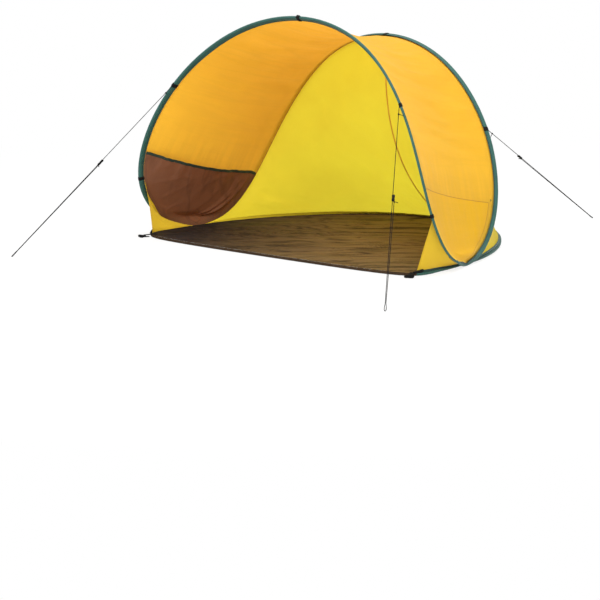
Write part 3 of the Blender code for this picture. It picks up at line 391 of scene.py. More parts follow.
class Nodes:
    """Short ways to add nodes to one material or world."""

    def __init__(self, name, owners=bpy.data.materials):
        self.owner = owners.new(name)
        self.owner.use_nodes = True
        self.tree = self.owner.node_tree
        self.tree.nodes.clear()

    def add(self, kind, **settings):
        node = self.tree.nodes.new(kind)
        for key, value in settings.items():
            setattr(node, key, value)
        return node

    def made(self, kind, inputs, **settings):
        """The first output of a new node whose inputs, by name or number, are linked or set."""
        node = self.add(kind, **settings)
        for key, value in inputs.items():
            self.set(node.inputs[key], value)
        return node.outputs[0]

    def set(self, socket, value):
        if hasattr(value, "is_output"):
            self.tree.links.new(value, socket)
        else:
            socket.default_value = (*value, 1.0) if socket.type == "RGBA" else value

    def maths(self, operation, *values, clamp=False):
        return self.made("ShaderNodeMath", dict(enumerate(values)), operation=operation, use_clamp=clamp)

    def times(self, first, second):
        return self.maths("MULTIPLY", first, second)

    def plus(self, first, second, clamp=False):
        return self.maths("ADD", first, second, clamp=clamp)

    def off(self, value, middle):
        """How far a value lies from a middle one."""
        return self.maths("ABSOLUTE", self.maths("SUBTRACT", value, middle))

    def within(self, value, middle, reach):
        """1 where a value lies closer to a middle one than a reach."""
        return self.maths("LESS_THAN", self.off(value, middle), reach)

    def wave(self, length, pitch):
        return self.maths("SINE", self.times(length, math.tau / pitch))

    def split(self, vector):
        node = self.add("ShaderNodeSeparateXYZ")
        self.set(node.inputs[0], vector)
        return node.outputs[:]

    def uv(self, name):
        return self.split(self.made("ShaderNodeUVMap", {}, uv_map=name))[:2]

    def place(self):
        return self.add("ShaderNodeTexCoord").outputs["Object"]

    def noise(self, scale, detail=2.0, roughness=0.6, bend=0.0, at=None):
        where = self.place() if at is None else at
        return self.made("ShaderNodeTexNoise", {"Vector": where, "Scale": scale, "Detail": detail,
                                                "Roughness": roughness, "Distortion": bend})

    def scaled(self, vector, scale):
        return self.made("ShaderNodeMapping", {"Vector": vector, "Scale": scale})

    def spread(self, value, low, high, to_low=0.0, to_high=1.0):
        """A value's range from low to high, spread over another range, and held at its ends."""
        return self.made("ShaderNodeMapRange", {"Value": value, "From Min": low, "From Max": high,
                                                "To Min": to_low, "To Max": to_high}, clamp=True)

    def tint(self, share, first, second):
        """A colour that goes from the first to the second one."""
        node = self.add("ShaderNodeMix", data_type="RGBA")
        self.set(node.inputs["Factor"], share)
        for socket, colour in zip([s for s in node.inputs if s.type == "RGBA"], (first, second)):
            self.set(socket, colour)
        return [s for s in node.outputs if s.type == "RGBA"][0]

    def darker(self, colour, factor):
        return self.made("ShaderNodeVectorMath", {0: colour, "Scale": factor}, operation="SCALE")

    def bump(self, height, strength, distance, normal=None):
        inputs = {"Height": height, "Strength": strength, "Distance": distance}
        return self.made("ShaderNodeBump", inputs if normal is None else {**inputs, "Normal": normal})

    def surface(self, colour, roughness, normal=None, specular=None, **values):
        """A principled surface; values are its other inputs, with _ for each space in their names."""
        values |= {"Base Color": colour, "Roughness": roughness, "Normal": normal,
                   "Specular IOR Level": specular}
        inputs = {key.replace("_", " "): value for key, value in values.items() if value is not None}
        return self.made("ShaderNodeBsdfPrincipled", inputs)

    def mixed(self, share, first, second):
        return self.made("ShaderNodeMixShader", {0: share, 1: first, 2: second})

    def finish(self, shader, kind="ShaderNodeOutputMaterial"):
        self.set(self.add(kind).inputs["Surface"], shader)
        return self.owner


def weave(n, pitch):
    """Height of a plain weave whose threads lie a pitch apart, over the cloth's own flat coordinates."""
    across, along = n.uv("flat")
    return n.times(n.wave(across, pitch), n.wave(along, pitch))


def dashes(n, along, beside, offset):
    """1 on the threads of a row of stitches at this offset from an edge, 0 elsewhere."""
    stitch, half_width, thread_share = 0.0034, 0.00045, 0.68
    on = n.maths("LESS_THAN", n.maths("FRACT", n.maths("DIVIDE", along, stitch)), thread_share)
    return n.times(n.within(beside, offset, half_width), on)


def pocket_shadow_marks(n, behind, number):
    """On the roof, for the painted shadow of a pocket that shows through it: 1 inside the pocket's outline,
    and 1 on the seam round it.
    """
    in_from_rear = n.spread(behind, POCKET_SEAM - 0.0015, POCKET_SEAM + 0.0015)
    below_mouth = n.spread(number, POCKET_MARK - 0.04, POCKET_MARK + 0.02, 1.0, 0.0)
    rear, mouth = n.within(behind, POCKET_SEAM, 0.0016), n.within(number, POCKET_MARK, 0.034)
    seam = n.plus(n.times(rear, below_mouth), n.times(mouth, in_from_rear), clamp=True)
    return n.times(in_from_rear, below_mouth), seam


def drawn(n, scale, width, bend):
    """1 on thin wandering lines over the cloth's flat coordinates, which carry painted fold shade."""
    vector = n.scaled(n.made("ShaderNodeUVMap", {}, uv_map="flat"), (*scale, 1.0))
    return n.spread(n.off(n.noise(1.0, 3.0, 0.5, bend, vector), 0.5), 0.0, width, 1.0, 0.0)


def cloth_material(name, colour, through, share, roughness=0.62, hem_width=0.011, hem_tint=1.10,
                   pocket=False, folds=(), low_side_shade=0.0):
    """Thin woven cloth that lets light through, with stitched hems, which are two layers and less clear. Each
    of folds is painted shade on thin lines like those of folds, and has a scale, a line width, a strength,
    and the two runs between which it sets in."""
    n = Nodes(name)
    edge, run = n.uv("edge")
    hem = n.maths("LESS_THAN", edge, hem_width)
    fine = n.noise(160.0)
    cloudy = n.spread(n.noise(5.0, 3.0, 0.55), 0.3, 0.7)
    body = n.tint(cloudy, shade(colour, 0.955), shade(colour, 1.03))
    body = n.tint(n.spread(fine, 0.35, 0.65, 0.0, 0.12), body, shade(colour, 0.8))
    body = n.tint(n.times(hem, 0.75), body, shade(colour, hem_tint))
    thread = dashes(n, run, edge, hem_width - 0.0022)
    body = n.tint(n.times(thread, 0.6), body, shade(colour, 0.5))
    glow = n.tint(cloudy, shade(through, 0.95), shade(through, 1.04))

    def with_painted_shade(where, on_body, in_glow):
        """Both colours with painted shade, darker by these factors where a share is 1."""
        return n.tint(where, body, shade(colour, on_body)), n.tint(where, glow, shade(through, in_glow))

    # Painted shade along thin fold lines
    for scale, width, strength, low, high in folds:
        lines = n.times(drawn(n, scale, width, 0.3), n.spread(n.uv("flat")[1], low, high, 0.0, strength))
        body, glow = with_painted_shade(lines, 0.42, 0.42)
    # Painted shade: darker towards the bottom of the cloth's outer sides
    if low_side_shade:
        x, _, z = n.split(n.place())
        aside = n.spread(n.maths("ABSOLUTE", x), 0.10, 0.46, 0.0, low_side_shade)
        body, glow = with_painted_shade(n.times(aside, n.spread(z, 0.10, 0.50, 1.0, 0.0)), 0.36, 0.36)
    if pocket:
        behind, number = n.uv("pocket")
        inside, seam = pocket_shadow_marks(n, behind, number)
        # Painted light: the roof is lighter low down, up to number 9, fading out by number 14
        body = n.tint(n.spread(number, 9.0, 14.0, 0.6, 0.0), body, linear(255, 202, 50))
        # Painted shade: darker upright streaks in the gathers above and on the pockets
        upright = n.times(n.spread(number, 2.5, 6.0), n.spread(number, 8.2, 10.6, 1.0, 0.0))
        upright = n.times(drawn(n, (27.0, 1.8), 0.24, 0.2), n.times(upright, 0.22))
        body, glow = with_painted_shade(upright, 0.50, 0.55)
        # Painted shadow of the pocket that shows through the roof: a warm, saturated tone inside its outline
        body = n.tint(n.times(inside, 0.70), body, linear(255, 196, 22))
        # Painted light: lighter within about 3 cm of the rear sleeve
        body = n.tint(n.spread(behind, 0.020, 0.034, 0.75, 0.0), body, linear(255, 206, 62))
        # Painted shadow of the pocket's seam and mouth: a darker line round its outline
        body = n.tint(n.times(seam, 0.75), body, linear(176, 112, 40))
    normal = n.bump(n.plus(weave(n, 0.0011), n.times(thread, 2.5)), 0.25, 0.00025)
    normal = n.bump(n.noise(34.0, 3.0, 0.6, 0.4), 0.22, 0.0022, normal)
    front = n.surface(body, n.spread(fine, 0.3, 0.7, roughness - 0.06, roughness + 0.06), normal, 0.22,
                      Sheen_Weight=0.06, Sheen_Roughness=0.45)
    back = n.made("ShaderNodeBsdfTranslucent", {"Color": glow, "Normal": normal})
    clear = n.times(n.maths("SUBTRACT", 1.0, n.times(hem, 0.45)), share)
    return n.finish(n.mixed(clear, front, back))


def floor_material():
    """Coated floor cloth: dull dark brown with a soft shine and small creases, with painted reflections of
    the tent's cloth and painted shade along the creases.
    """
    n = Nodes("floor_cloth_coated")
    edge, run = n.uv("edge")
    x, y, _ = n.split(n.place())
    # Painted reflections: dark on the left, which mirrors the brown pocket, and warm olive towards the middle
    # and right, which mirrors the yellow wall
    aside = n.spread(n.plus(x, n.times(y, 0.5)), -0.70, 0.0)
    dark, warm_reflection = linear(46, 39, 38), linear(119, 98, 64)
    cloudy = n.spread(n.noise(4.0, 3.0), 0.3, 0.7)
    body = n.tint(aside, n.tint(cloudy, shade(dark, 0.85), shade(dark, 1.12)),
                  n.tint(cloudy, shade(warm_reflection, 0.88), shade(warm_reflection, 1.12)))
    dust = n.spread(n.noise(90.0, 4.0, 0.7), 0.52, 0.78, 0.0, 0.12)
    body = n.tint(dust, body, linear(112, 94, 70))
    body = n.tint(n.times(dashes(n, run, edge, 0.0115), 0.7), body, linear(24, 20, 16))
    turned = n.made("ShaderNodeMapping", {"Vector": n.place(), "Rotation": (0.0, 0.0, -0.702)})
    crease = n.noise(14.0, 2.0, 0.5, 0.2, n.scaled(turned, (0.08, 1.15, 1.0)))
    fine = n.noise(14.0, 2.0, 0.5, 0.3, n.scaled(turned, (0.13, 2.30, 1.0)))
    # Painted shade along the creases
    lines = n.plus(n.spread(n.off(crease, 0.5), 0.004, 0.026, 1.0, 0.0),
                   n.spread(n.off(fine, 0.5), 0.004, 0.034, 0.85, 0.0), clamp=True)
    body = n.tint(n.times(lines, 0.72), body, linear(34, 26, 20))
    normal = n.bump(crease, 0.5, 0.005, n.bump(weave(n, 0.0014), 0.2, 0.0003))
    return n.finish(n.surface(body, n.spread(crease, 0.3, 0.7, 0.62, 0.74), normal, 0.12))


def tape_material(name, colour, stitch_rows=(), roughness=0.62, sheen=0.12, shine=0.25, inner=1.0,
                  shadow_row=None):
    """Folded binding tape: ribs across it, worn and lighter on its folds, with rows of stitches. Its inner
    half can have painted shade, deeper lower down, with painted dark lines along both lips, and the cloth
    beyond a row near its edge can have a painted shadow."""
    n = Nodes(name)
    along, around = n.uv("flat")
    ribs = n.wave(along, 0.0016)
    fibre = n.noise(420.0)
    body = n.tint(n.spread(n.noise(14.0, 3.0), 0.3, 0.7), shade(colour, 0.86), shade(colour, 1.16))
    body = n.tint(n.spread(ribs, -1.0, 1.0, 0.25, 0.0), body, shade(colour, 0.55))
    body = n.tint(n.spread(fibre, 0.5, 0.8, 0.0, 0.25), body, shade(colour, 1.7))
    # Painted shade: the inner half darker, more so lower down, and dark lines along the edges of both lips
    if inner < 1.0:
        low = n.spread(n.split(n.place())[2], 0.25, 0.78, inner, min(1.0, inner + 0.35))
        body = n.tint(n.spread(around, 0.030, 0.036), body, n.darker(body, low))
        body = n.tint(n.times(n.spread(around, 0.0475, 0.0495), 0.6), body, shade(colour, 0.22))
        body = n.tint(n.times(n.spread(around, 0.0045, 0.0075, 1.0, 0.0), 0.6), body, shade(colour, 0.30))
    # Painted shadow on the tape beyond a row near its edge
    if shadow_row is not None:
        beyond = n.spread(around, shadow_row, shadow_row + 0.0012)
        body = n.tint(n.times(beyond, 0.7), body, shade(colour, 0.25))
    height = n.plus(n.times(ribs, 0.5), n.times(fibre, 0.6))
    for row in stitch_rows:
        thread = dashes(n, along, around, row)
        body = n.tint(n.times(thread, 0.75), body, shade(colour, 0.35))
        height = n.plus(height, n.times(thread, 1.6))
    rough = n.spread(fibre, 0.3, 0.7, roughness - 0.08, roughness + 0.08)
    return n.finish(n.surface(body, rough, n.bump(height, 0.45, 0.0004), shine, Sheen_Weight=sheen,
                              Sheen_Roughness=0.4))


def webbing_material():
    """Black woven webbing: a herringbone of small ribs with dusty high spots."""
    n = Nodes("black_webbing_woven")
    along, around = n.uv("flat")
    turn = math.tau / 0.0018
    slant = n.times(n.maths("PINGPONG", around, 0.002), turn * 0.8)
    ribs = n.maths("SINE", n.plus(n.times(along, turn), slant))
    fibre = n.noise(600.0)
    body = n.tint(n.spread(ribs, -1.0, 1.0), linear(7, 8, 9), linear(21, 22, 24))
    body = n.tint(n.spread(fibre, 0.55, 0.8, 0.0, 0.2), body, linear(50, 52, 55))
    return n.finish(n.surface(body, 0.78, n.bump(n.plus(ribs, fibre), 0.5, 0.0004), 0.16))


def plastic_material():
    """Black moulded plastic with a fine grain and lighter rubbed edges."""
    n = Nodes("black_plastic_moulded")
    grain, wear = n.noise(900.0, 3.0), n.noise(220.0, 4.0, 0.7)
    pointed = n.add("ShaderNodeNewGeometry").outputs["Pointiness"]
    edges = n.times(n.spread(pointed, 0.5, 0.62), n.spread(wear, 0.4, 0.65, 0.0, 0.6))
    body = n.tint(n.spread(wear, 0.3, 0.7), linear(6, 6, 6), linear(12, 12, 12))
    body = n.tint(edges, body, linear(26, 26, 27))
    rough = n.spread(grain, 0.3, 0.7, 0.52, 0.66)
    return n.finish(n.surface(body, rough, n.bump(grain, 0.3, 0.00015), 0.10))


def cord_material(name, dark, light):
    """Braided cord: strands that wind both ways round it."""
    n = Nodes(name)
    along, around = n.uv("flat")
    lay = n.times(around, 2 / LINE_RADIUS)
    lengthwise = n.times(along, math.tau / 0.0042)
    braid = n.maths("MAXIMUM", n.maths("SINE", n.plus(lengthwise, lay)),
                    n.maths("SINE", n.maths("SUBTRACT", lengthwise, lay)))
    fibre = n.noise(700.0)
    body = n.tint(n.spread(braid, -0.2, 1.0), dark, light)
    body = n.tint(n.spread(fibre, 0.5, 0.75, 0.0, 0.25), body, shade(light, 1.5))
    return n.finish(n.surface(body, 0.8, n.bump(n.plus(braid, n.times(fibre, 0.4)), 0.6, 0.0004), 0.12))


def steel_material(name, base, roughness, scratch):
    """Drawn or plated steel with fine streaks and some dull spots."""
    n = Nodes(name)
    streak = n.noise(300.0, 3.0, at=n.scaled(n.place(), scratch))
    body = n.tint(n.spread(n.noise(60.0, 4.0, 0.65), 0.35, 0.7), base, shade(base, 0.7))
    rough = n.spread(streak, 0.3, 0.7, roughness, roughness + 0.18)
    return n.finish(n.surface(body, rough, n.bump(streak, 0.2, 0.0001), Metallic=1.0))


ORANGE = linear(244, 186, 40)
YELLOW = linear(250, 224, 54)
BROWN = linear(123, 82, 58)
TEAL = linear(47, 90, 82)
# Two runs below every real one: painted fold shade that sets in between them is all over the cloth
EVERYWHERE = (-2.0, -1.0)

# The roof carries painted shade on drag lines, and painted light and shadow round the pockets
roof_finish = cloth_material("roof_cloth_woven", ORANGE, linear(236, 163, 56), 0.34, hem_width=0.006,
                             pocket=True, folds=[((2.0, 22.0), 0.07, 0.07, *EVERYWHERE)])
# The wall has painted shade towards the bottom of its outer sides
wall_finish = cloth_material("wall_cloth_woven", YELLOW, linear(255, 235, 62), 0.47, low_side_shade=0.13)
# Painted shade: the gussets are a darker copy of the wall's yellow cloth
shaded_gusset_finish = cloth_material("gusset_cloth_woven", linear(226, 192, 48), linear(238, 200, 56), 0.36)
# Painted shade on the pockets: upright streaks in the gathers below the mouth, and thin fold lines all over
pocket_fold_shade = [((46.0, 4.0), 0.10, 0.42, 0.26, 0.40), ((9.0, 3.0), 0.04, 0.35, *EVERYWHERE)]
pocket_finish = cloth_material("pocket_cloth_woven", BROWN, linear(158, 98, 60), 0.20, 0.66, hem_tint=0.8,
                               folds=pocket_fold_shade)
floor_finish = floor_material()
# The sleeves' tape has painted shade on its inner half
teal_finish = tape_material("sleeve_tape_ribbed", TEAL, (0.0065, 0.0535), inner=0.50)
# Painted shade: the front legs' tape is a darker copy of the sleeve's teal, and both legs have a painted
# shadow along their top edge
shaded_flange_finish = tape_material("sleeve_tape_leg_ribbed", linear(38, 72, 62), (0.0110,), shadow_row=0.0147)
rear_flange_finish = tape_material("sleeve_tape_rear_leg_ribbed", TEAL, (0.0180,), shadow_row=0.0216)
hem_finish = tape_material("hem_cloth_folded", linear(66, 53, 41), (0.0065, 0.0535), 0.9, 0.0, 0.0)
pocket_tape_finish = tape_material("pocket_tape_ribbed", linear(36, 52, 42))
seam_finish = tape_material("seam_tape_ribbed", linear(248, 184, 60))
piping_finish = tape_material("seam_binding_orange", linear(186, 118, 40))
pocket_seam_finish = tape_material("seam_binding_red_brown", linear(92, 44, 34))
dark_piping_finish = tape_material("seam_binding_brown", linear(44, 34, 28))
webbing_finish = webbing_material()
plastic_finish = plastic_material()
cord_finish = cord_material("guy_cord_braided", linear(6, 6, 7), linear(22, 23, 24))
wire_finish = steel_material("sprung_steel_drawn", linear(150, 152, 156), 0.26, (1.0, 1.0, 12.0))
ferrule_finish = steel_material("plated_steel_dull", linear(180, 182, 186), 0.32, (4.0, 4.0, 4.0))


# Meshes

def waves(places, scale, seed):
    """Smooth noise over flat places, finer for higher scales, with its own pattern for each seed."""
    scaled = np.asarray(places, float) * scale
    values = [noise.noise(Vector((x, y, seed))) for x, y in scaled.reshape(-1, 2)]
    return np.array(values).reshape(scaled.shape[:-1])


def ridges(places, scale, seed, sharp):
    """1 on the crests of thin folds, down to 0 between them."""
    return np.maximum(1 - np.abs(waves(places, scale, seed)) * sharp, 0)


def waves_along(run, scale, seed):
    return waves(np.stack([run, run * 0], axis=1), (scale, 1.0), seed)


def new_piece(name, mesh, finish):
    piece = bpy.data.objects.new(name, mesh)
    bpy.context.scene.collection.objects.link(piece)
    mesh.materials.append(finish)
    mesh.shade_smooth()
    return piece


def dress(piece, slot, node=None, body="tent"):
    """Hide the CAD node that a piece stands for, and hang the piece on the body that it rides on. The slot is
    not used.
    """
    if node:
        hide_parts(node)
    if body:
        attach(piece, body)
    return piece


def grid_mesh(name, grid, maps, closed_rows=False, closed_columns=False):
    """A mesh over a grid of points, with maps by name, such as its flat coordinates."""
    rows, columns = grid.shape[:2]
    across, down = rows - 1 + closed_rows, columns - 1 + closed_columns
    i, j = np.divmod(np.arange(across * down)[:, None], down)
    i, j = i + (0, 0, 1, 1), j + (0, 1, 1, 0)
    mesh = bpy.data.meshes.new(name)
    faces = i % rows * columns + j % columns
    mesh.from_pydata((grid.reshape(-1, 3) + SHIFT).tolist(), [], faces.tolist())
    for label, source in maps.items():
        mesh.uv_layers.new(name=label).data.foreach_set("uv", source[i, j].astype(np.float32).ravel())
    mesh.validate()
    return mesh


def close(mesh, rings, turn=True):
    """Close a mesh with a face over each ring of its points, and turn its faces outwards."""
    shape = bmesh.new()
    shape.from_mesh(mesh)
    shape.verts.ensure_lookup_table()
    for ring in rings:
        shape.faces.new([shape.verts[k] for k in ring])
    if turn:
        bmesh.ops.recalc_face_normals(shape, faces=shape.faces)
    shape.to_mesh(mesh)
    shape.free()


def solid(name, grid, run, around, finish, slot, node=None, body="tent", crosswise=False):
    """A closed piece swept along a grid's rows, with flat ends, or a ring where run has one place more than
    the grid has rows. Its ribs lie across it, or along it where it is crosswise."""
    flat = np.stack(np.meshgrid(run, around, indexing="ij"), axis=2)
    rows, columns = grid.shape[:2]
    ring = len(run) > rows
    mesh = grid_mesh(name, grid, {"flat": flat[..., ::-1] if crosswise else flat}, ring, True)
    last = columns * (rows - 1)
    close(mesh, [] if ring else [range(columns)[::-1], range(last, last + columns)])
    return dress(new_piece(name, mesh, finish), slot, node, body)


def grid_normals(grid):
    """Unit normals of a grid, turned to the middle of the tent."""
    normals = np.cross(np.gradient(grid, axis=0), np.gradient(grid, axis=1))
    normals = normals / np.maximum(np.linalg.norm(normals, axis=2, keepdims=True), 1e-12)
    inward = np.sum((MIDDLE - grid) * normals, axis=2, keepdims=True)
    return np.where(inward < 0, -normals, normals)


def map_of(first, second):
    return np.stack(np.broadcast_arrays(first, second), axis=2)


def flat_map(grid):
    """Flat coordinates of a cloth: metres along its columns, and metres along its middle row."""
    across = lengths_over(grid, 1)
    return map_of(across - across[:, -1:] / 2, run_of(grid[:, grid.shape[1] // 2])[:, None])


def edge_distance(grid):
    across = lengths_over(grid, 1)
    return np.minimum(across, across[:, -1:] - across)


def edge_map(grid, free_ends=False):
    """Distance to the nearer long edge, and the run along it."""
    near = edge_distance(grid)
    if free_ends:
        along = lengths_over(grid, 0)
        near = np.minimum(near, along[-1:] - along)
    return map_of(near, run_of(grid[:, 0])[:, None])


def faded(grid, start, end):
    """1 in the body of a cloth and 0 at its long edges, over a distance from start to end."""
    return ease((edge_distance(grid) - start) / (end - start))


def area_of(grid):
    corner, right, below, far = grid[:-1, :-1], grid[1:, :-1], grid[:-1, 1:], grid[1:, 1:]
    halves = np.cross(right - corner, below - corner), np.cross(far - right, far - below)
    return 0.5 * sum(np.linalg.norm(half, axis=2) for half in halves).sum()


def sewn_sheet(name, grid, maps, finish, slot, node):
    """A cloth that is stretched between its seams; its area is worked out, and not kept."""
    piece = dress(new_piece(name, grid_mesh(name, grid, maps), finish), slot, node)
    area_of(grid)


# Distances from the wire at which the cloth has a row near a sleeve: laid round it, or held in its slot
LAP_ROWS = (-0.0026, 0.0010, 0.0050, 0.0095, 0.0140, 0.0190, 0.0240)
SLOT_ROWS = (0.0080, 0.0095, 0.0110, 0.0130, 0.0155, 0.0190, 0.0240)
BODY_START = 0.0300
LAP_LIFT = 0.0060
LAP_REACH = 0.0850
POCKET_START = 0.0176
ROOF_ROWS = 36
FULL_CHORD = 0.075


def lap(distance):
    """Height at which cloth passes over a sleeve's side, at a distance from its wire."""
    if distance < -0.0004:
        return LAP_LIFT - (0.0004 + distance) ** 2 * 180
    return LAP_LIFT * max(0.0, 1 - distance / LAP_REACH) ** 1.7


class Span:
    """The roof's course from the front sleeve to the rear one at a number along the arches."""

    def __init__(self, i):
        self.front, self.rear, self.normal, self.sag = arches.pair(i)
        self.chord = float(np.linalg.norm(self.rear.point - self.front.point))
        self.size = min(1.0, 0.25 + 0.75 * self.chord / FULL_CHORD)
        self.start = BODY_START * self.size
        self.lean = top_lean(i)

    def end(self, station, distance, lift):
        """A point near one of the sleeves, lifted off the course to the inside."""
        drop = 4 * self.sag * min(max(distance, 0.0) / max(self.chord, 1e-6), 0.5) ** 2
        if station is self.front and distance > 0:
            drop += self.lean * distance * (1 - 1 / (1 + (distance / LEAN_REACH) ** 3))
        return station.inside(distance, lift) - self.normal * drop

    def dip(self, distance):
        """How far the roof still hangs below its plain course behind a front sleeve that leans in."""
        first, here = (self.lean * d / (1 + (d / LEAN_REACH) ** 3) for d in (self.start, distance))
        return here - first * max(0.0, 1 - (distance - self.start) / max(self.chord - 2 * self.start, 1e-6))

    def body(self, rows):
        """Points of the middle part, with their distances from both wires."""
        near, far = self.end(self.front, self.start, 0.0), self.end(self.rear, self.start, 0.0)
        trimmed = 1 - 2 * min(self.start / max(self.chord, 1e-6), 0.5)
        free = max(self.chord - 2 * self.start, 0.0)
        for share in np.arange(rows + 1) / rows:
            point = mix(near, far, share) + self.normal * self.sag * trimmed**2 * bow(share)
            yield point, self.start + free * share, self.start + free * (1 - share)


def bare_top(i):
    """1 on top of the front arch, where no cloth covers its sleeve, and 0 at its sides."""
    return float(ease((i - 11.8) / 3.2))


def slot_share(i):
    """1 where the roof ends in the front sleeve's slot, at the feet and on top, 0 where it laps over it."""
    return max(1.0 - float(ease((i - 0.9) / 1.6)), bare_top(i))


def roof_column(i):
    """Over the front sleeve's outer side or into its slot, across, and over the rear sleeve's inner side."""
    span, slot = Span(i), slot_share(i)
    column = []
    for over, held in zip(LAP_ROWS, SLOT_ROWS):
        distance = over * (1 - slot) + held * slot
        column.append(span.end(span.front, distance * span.size, -lap(distance) * (1 - slot)))
    for point, ahead, behind in span.body(ROOF_ROWS):
        column.append(point + span.normal * (lap(behind) - lap(ahead) * (1 - slot) + span.dip(ahead)))
    return column + [span.end(span.rear, over * span.size, lap(over)) for over in LAP_ROWS[::-1]]


def roof_wrinkles(grid, flat, numbers):
    """Long drag lines from arch to arch, short puckers along both seams, and upright gathers above and on
    the pockets, where the roof may only bulge to the outside."""
    drift = waves(flat, (4.0, 5.0), 12.3)
    bend = flat + drift[..., None] * (0.0, 0.05)
    folds = waves(bend, (2.0, 15.0), 3.1) + 0.55 * waves(bend, (3.4, 34.0), 7.7)
    creases, hairs = ridges(bend, (2.4, 22.0), 33.0, 3.4), ridges(bend, (3.6, 52.0), 38.0, 3.0)
    puckers = waves(flat, (6.0, 60.0), 21.9) + 0.5 * waves(flat, (9.0, 120.0), 25.9)
    gathers = waves(bend, (34.0, 4.0), 44.0) + 0.6 * waves(bend, (70.0, 8.0), 47.0)
    rim = faded(grid, 0.020, 0.034) * (1 - faded(grid, 0.034, 0.13))
    most = folds * 0.0056 + drift * 0.006 + creases**2 * 0.0026 - hairs**2 * 0.0011
    most = most * faded(grid, 0.020, 0.10) + puckers * 0.0026 * rim
    low = (1 - ease((numbers - POCKET_STATION - 0.3) / 1.4))[:, None]
    upright = (ease((numbers - 1.0) / 4.0) * (1 - ease((numbers - POCKET_STATION - 0.8) / 1.6)))[:, None]
    gathers = np.abs(gathers) * 0.0042 * upright * faded(grid, 0.026, 0.07)
    return most * (1 - low) - np.abs(most) * 0.35 * low - gathers


def make_roof():
    numbers = paced(2.0, 22, 100)
    right = np.array([roof_column(i) for i in numbers])
    grid = np.concatenate([right, (right * MIRROR)[-2::-1]])
    numbers = np.concatenate([numbers, numbers[-2::-1]])
    flat = flat_map(grid)
    grid = grid + grid_normals(grid) * roof_wrinkles(grid, flat, numbers)[..., None]
    pocket = map_of(lengths_over(grid[:, ::-1], 1)[:, ::-1], numbers[:, None])
    maps = {"flat": flat, "edge": edge_map(grid), "pocket": pocket}
    sewn_sheet("roof_panel_cloth", grid, maps, roof_finish, "roof_cloth", "canopy_panel")


WALL_ROWS = 40
SEAM_TAPE_SECTION = [(-0.0032, 0.0003), (-0.0027, 0.0010), (0.0, 0.0012), (0.0027, 0.0010), (0.0032, 0.0003)]


def wall_low(lower):
    """Where an upright cloth ends on the base sleeve."""
    return lower.at(0.0024, 0.0056)


def wall_wrinkles(grid, flat, seed):
    """Slack in a back wall: wide hollows, folds that fan out from its corners, and puckers at its seams."""
    slack = waves(flat, (5.0, 4.0), seed + 5)
    bend = flat + slack[..., None] * (0.08, 0.08)
    most = waves(bend, (15.0, 3.5), seed) * 0.0055 + slack * 0.010
    most = most + waves(bend @ np.array(((0.8, -0.6), (0.6, 0.8))), (6.0, 22.0), seed + 2) * 0.0045
    most = most + waves(bend, (30.0, 16.0), seed + 9) * 0.0015
    most = most + ridges(bend, (9.0, 20.0), seed + 11, 3.4) ** 2 * 0.0020
    near = faded(grid, 0.002, 0.012) * (1 - faded(grid, 0.02, 0.10))
    return most * faded(grid, 0.004, 0.07) + waves(flat, (8.0, 52.0), seed + 14) * 0.0022 * near


def make_flange(name, edge, rise, outside, finish, tall=1.0):
    """The base sleeve's upright leg, sewn on the outer face of the cloth that stands on it."""
    column = [(-0.0046, -0.0002), (-0.0030, 0.0010)]
    column += [(tall * a, b) for a, b in ((0.0010, 0.0016), (0.0050, 0.0014), (0.0070, 0.0015),
                                          (0.0085, 0.0013), (0.0089, 0.0006))]
    grid = np.array([[low + way * a + out * b for a, b in column]
                     for low, way, out in zip(edge, rise, outside)])
    run = run_of(grid[:, 0])
    grid[:, 2:-1] += (outside * waves_along(run, 60.0, 3.0)[:, None] * 0.0004)[:, None, :]
    mesh = grid_mesh(name, grid, {"flat": map_of(run[:, None], lengths_over(grid, 1) + 0.003)})
    dress(new_piece(name, mesh, finish), "sleeve_tape")


def flange_lines(grid):
    """A cloth's low edge, the way up it, and the way out of the tent there."""
    edge = grid[:, -1]
    rise = np.array([unit(a - b) for a, b in zip(grid[:, -4], edge)])
    outside = np.array([unit(n - w * (n @ w)) for n, w in zip(-grid_normals(grid)[:, -3], rise)])
    return edge, rise, outside


def make_back_wall():
    numbers = paced(1.0, 6, 78)
    places = [(arches.pair(i)[1], floor.rear(i)) for i in numbers]
    longest = max(np.linalg.norm(low.point - up.point) for up, low in places)
    shares, grid = np.linspace(0.0, 1.0, WALL_ROWS + 1), []
    for up, low in places:
        drop = low.point - up.point
        normal = inside_normal(unit(up.along + low.along), drop, up.point)
        sag = normal * WALL_SAG * (np.linalg.norm(drop) / longest) ** 2
        top, bottom = up.inside(-0.0010, 0.0062), wall_low(low)
        grid.append([mix(top, bottom, share) + sag * bow(share) for share in shares])
    grid = np.array(grid)
    grid[-1, :, 0] = 0.0004
    whole = [np.concatenate([part, (part * MIRROR)[-2::-1]]) for part in flange_lines(grid)]
    make_flange("base_sleeve_leg_rear", *whole, rear_flange_finish, 1.8)
    flat = flat_map(grid)
    centre_fade = ease(np.abs(grid[..., 0]) / 0.05)
    for (sign, label), seed in zip(SIDES, (31.0, 47.0)):
        moved = grid + grid_normals(grid) * (wall_wrinkles(grid, flat, seed) * centre_fade)[..., None]
        moved = moved * (sign, 1.0, 1.0)
        sewn_sheet("back_wall_cloth_" + label, moved, {"flat": flat, "edge": edge_map(moved)}, wall_finish,
                   "wall_cloth", "back_wall_" + label)
    strip = []
    for x, lift in SEAM_TAPE_SECTION:
        line = grid[-1] + grid_normals(grid)[-1] * lift
        line[:, 0] = x
        strip.append(line)
    strip = np.array(strip).transpose(1, 0, 2)[1:-1]
    mesh = grid_mesh("centre_seam_binding", strip, {"flat": flat_map(strip)[..., ::-1]})
    dress(new_piece("centre_seam_binding", mesh, seam_finish), "seam_tape", "centre_seam_tape")


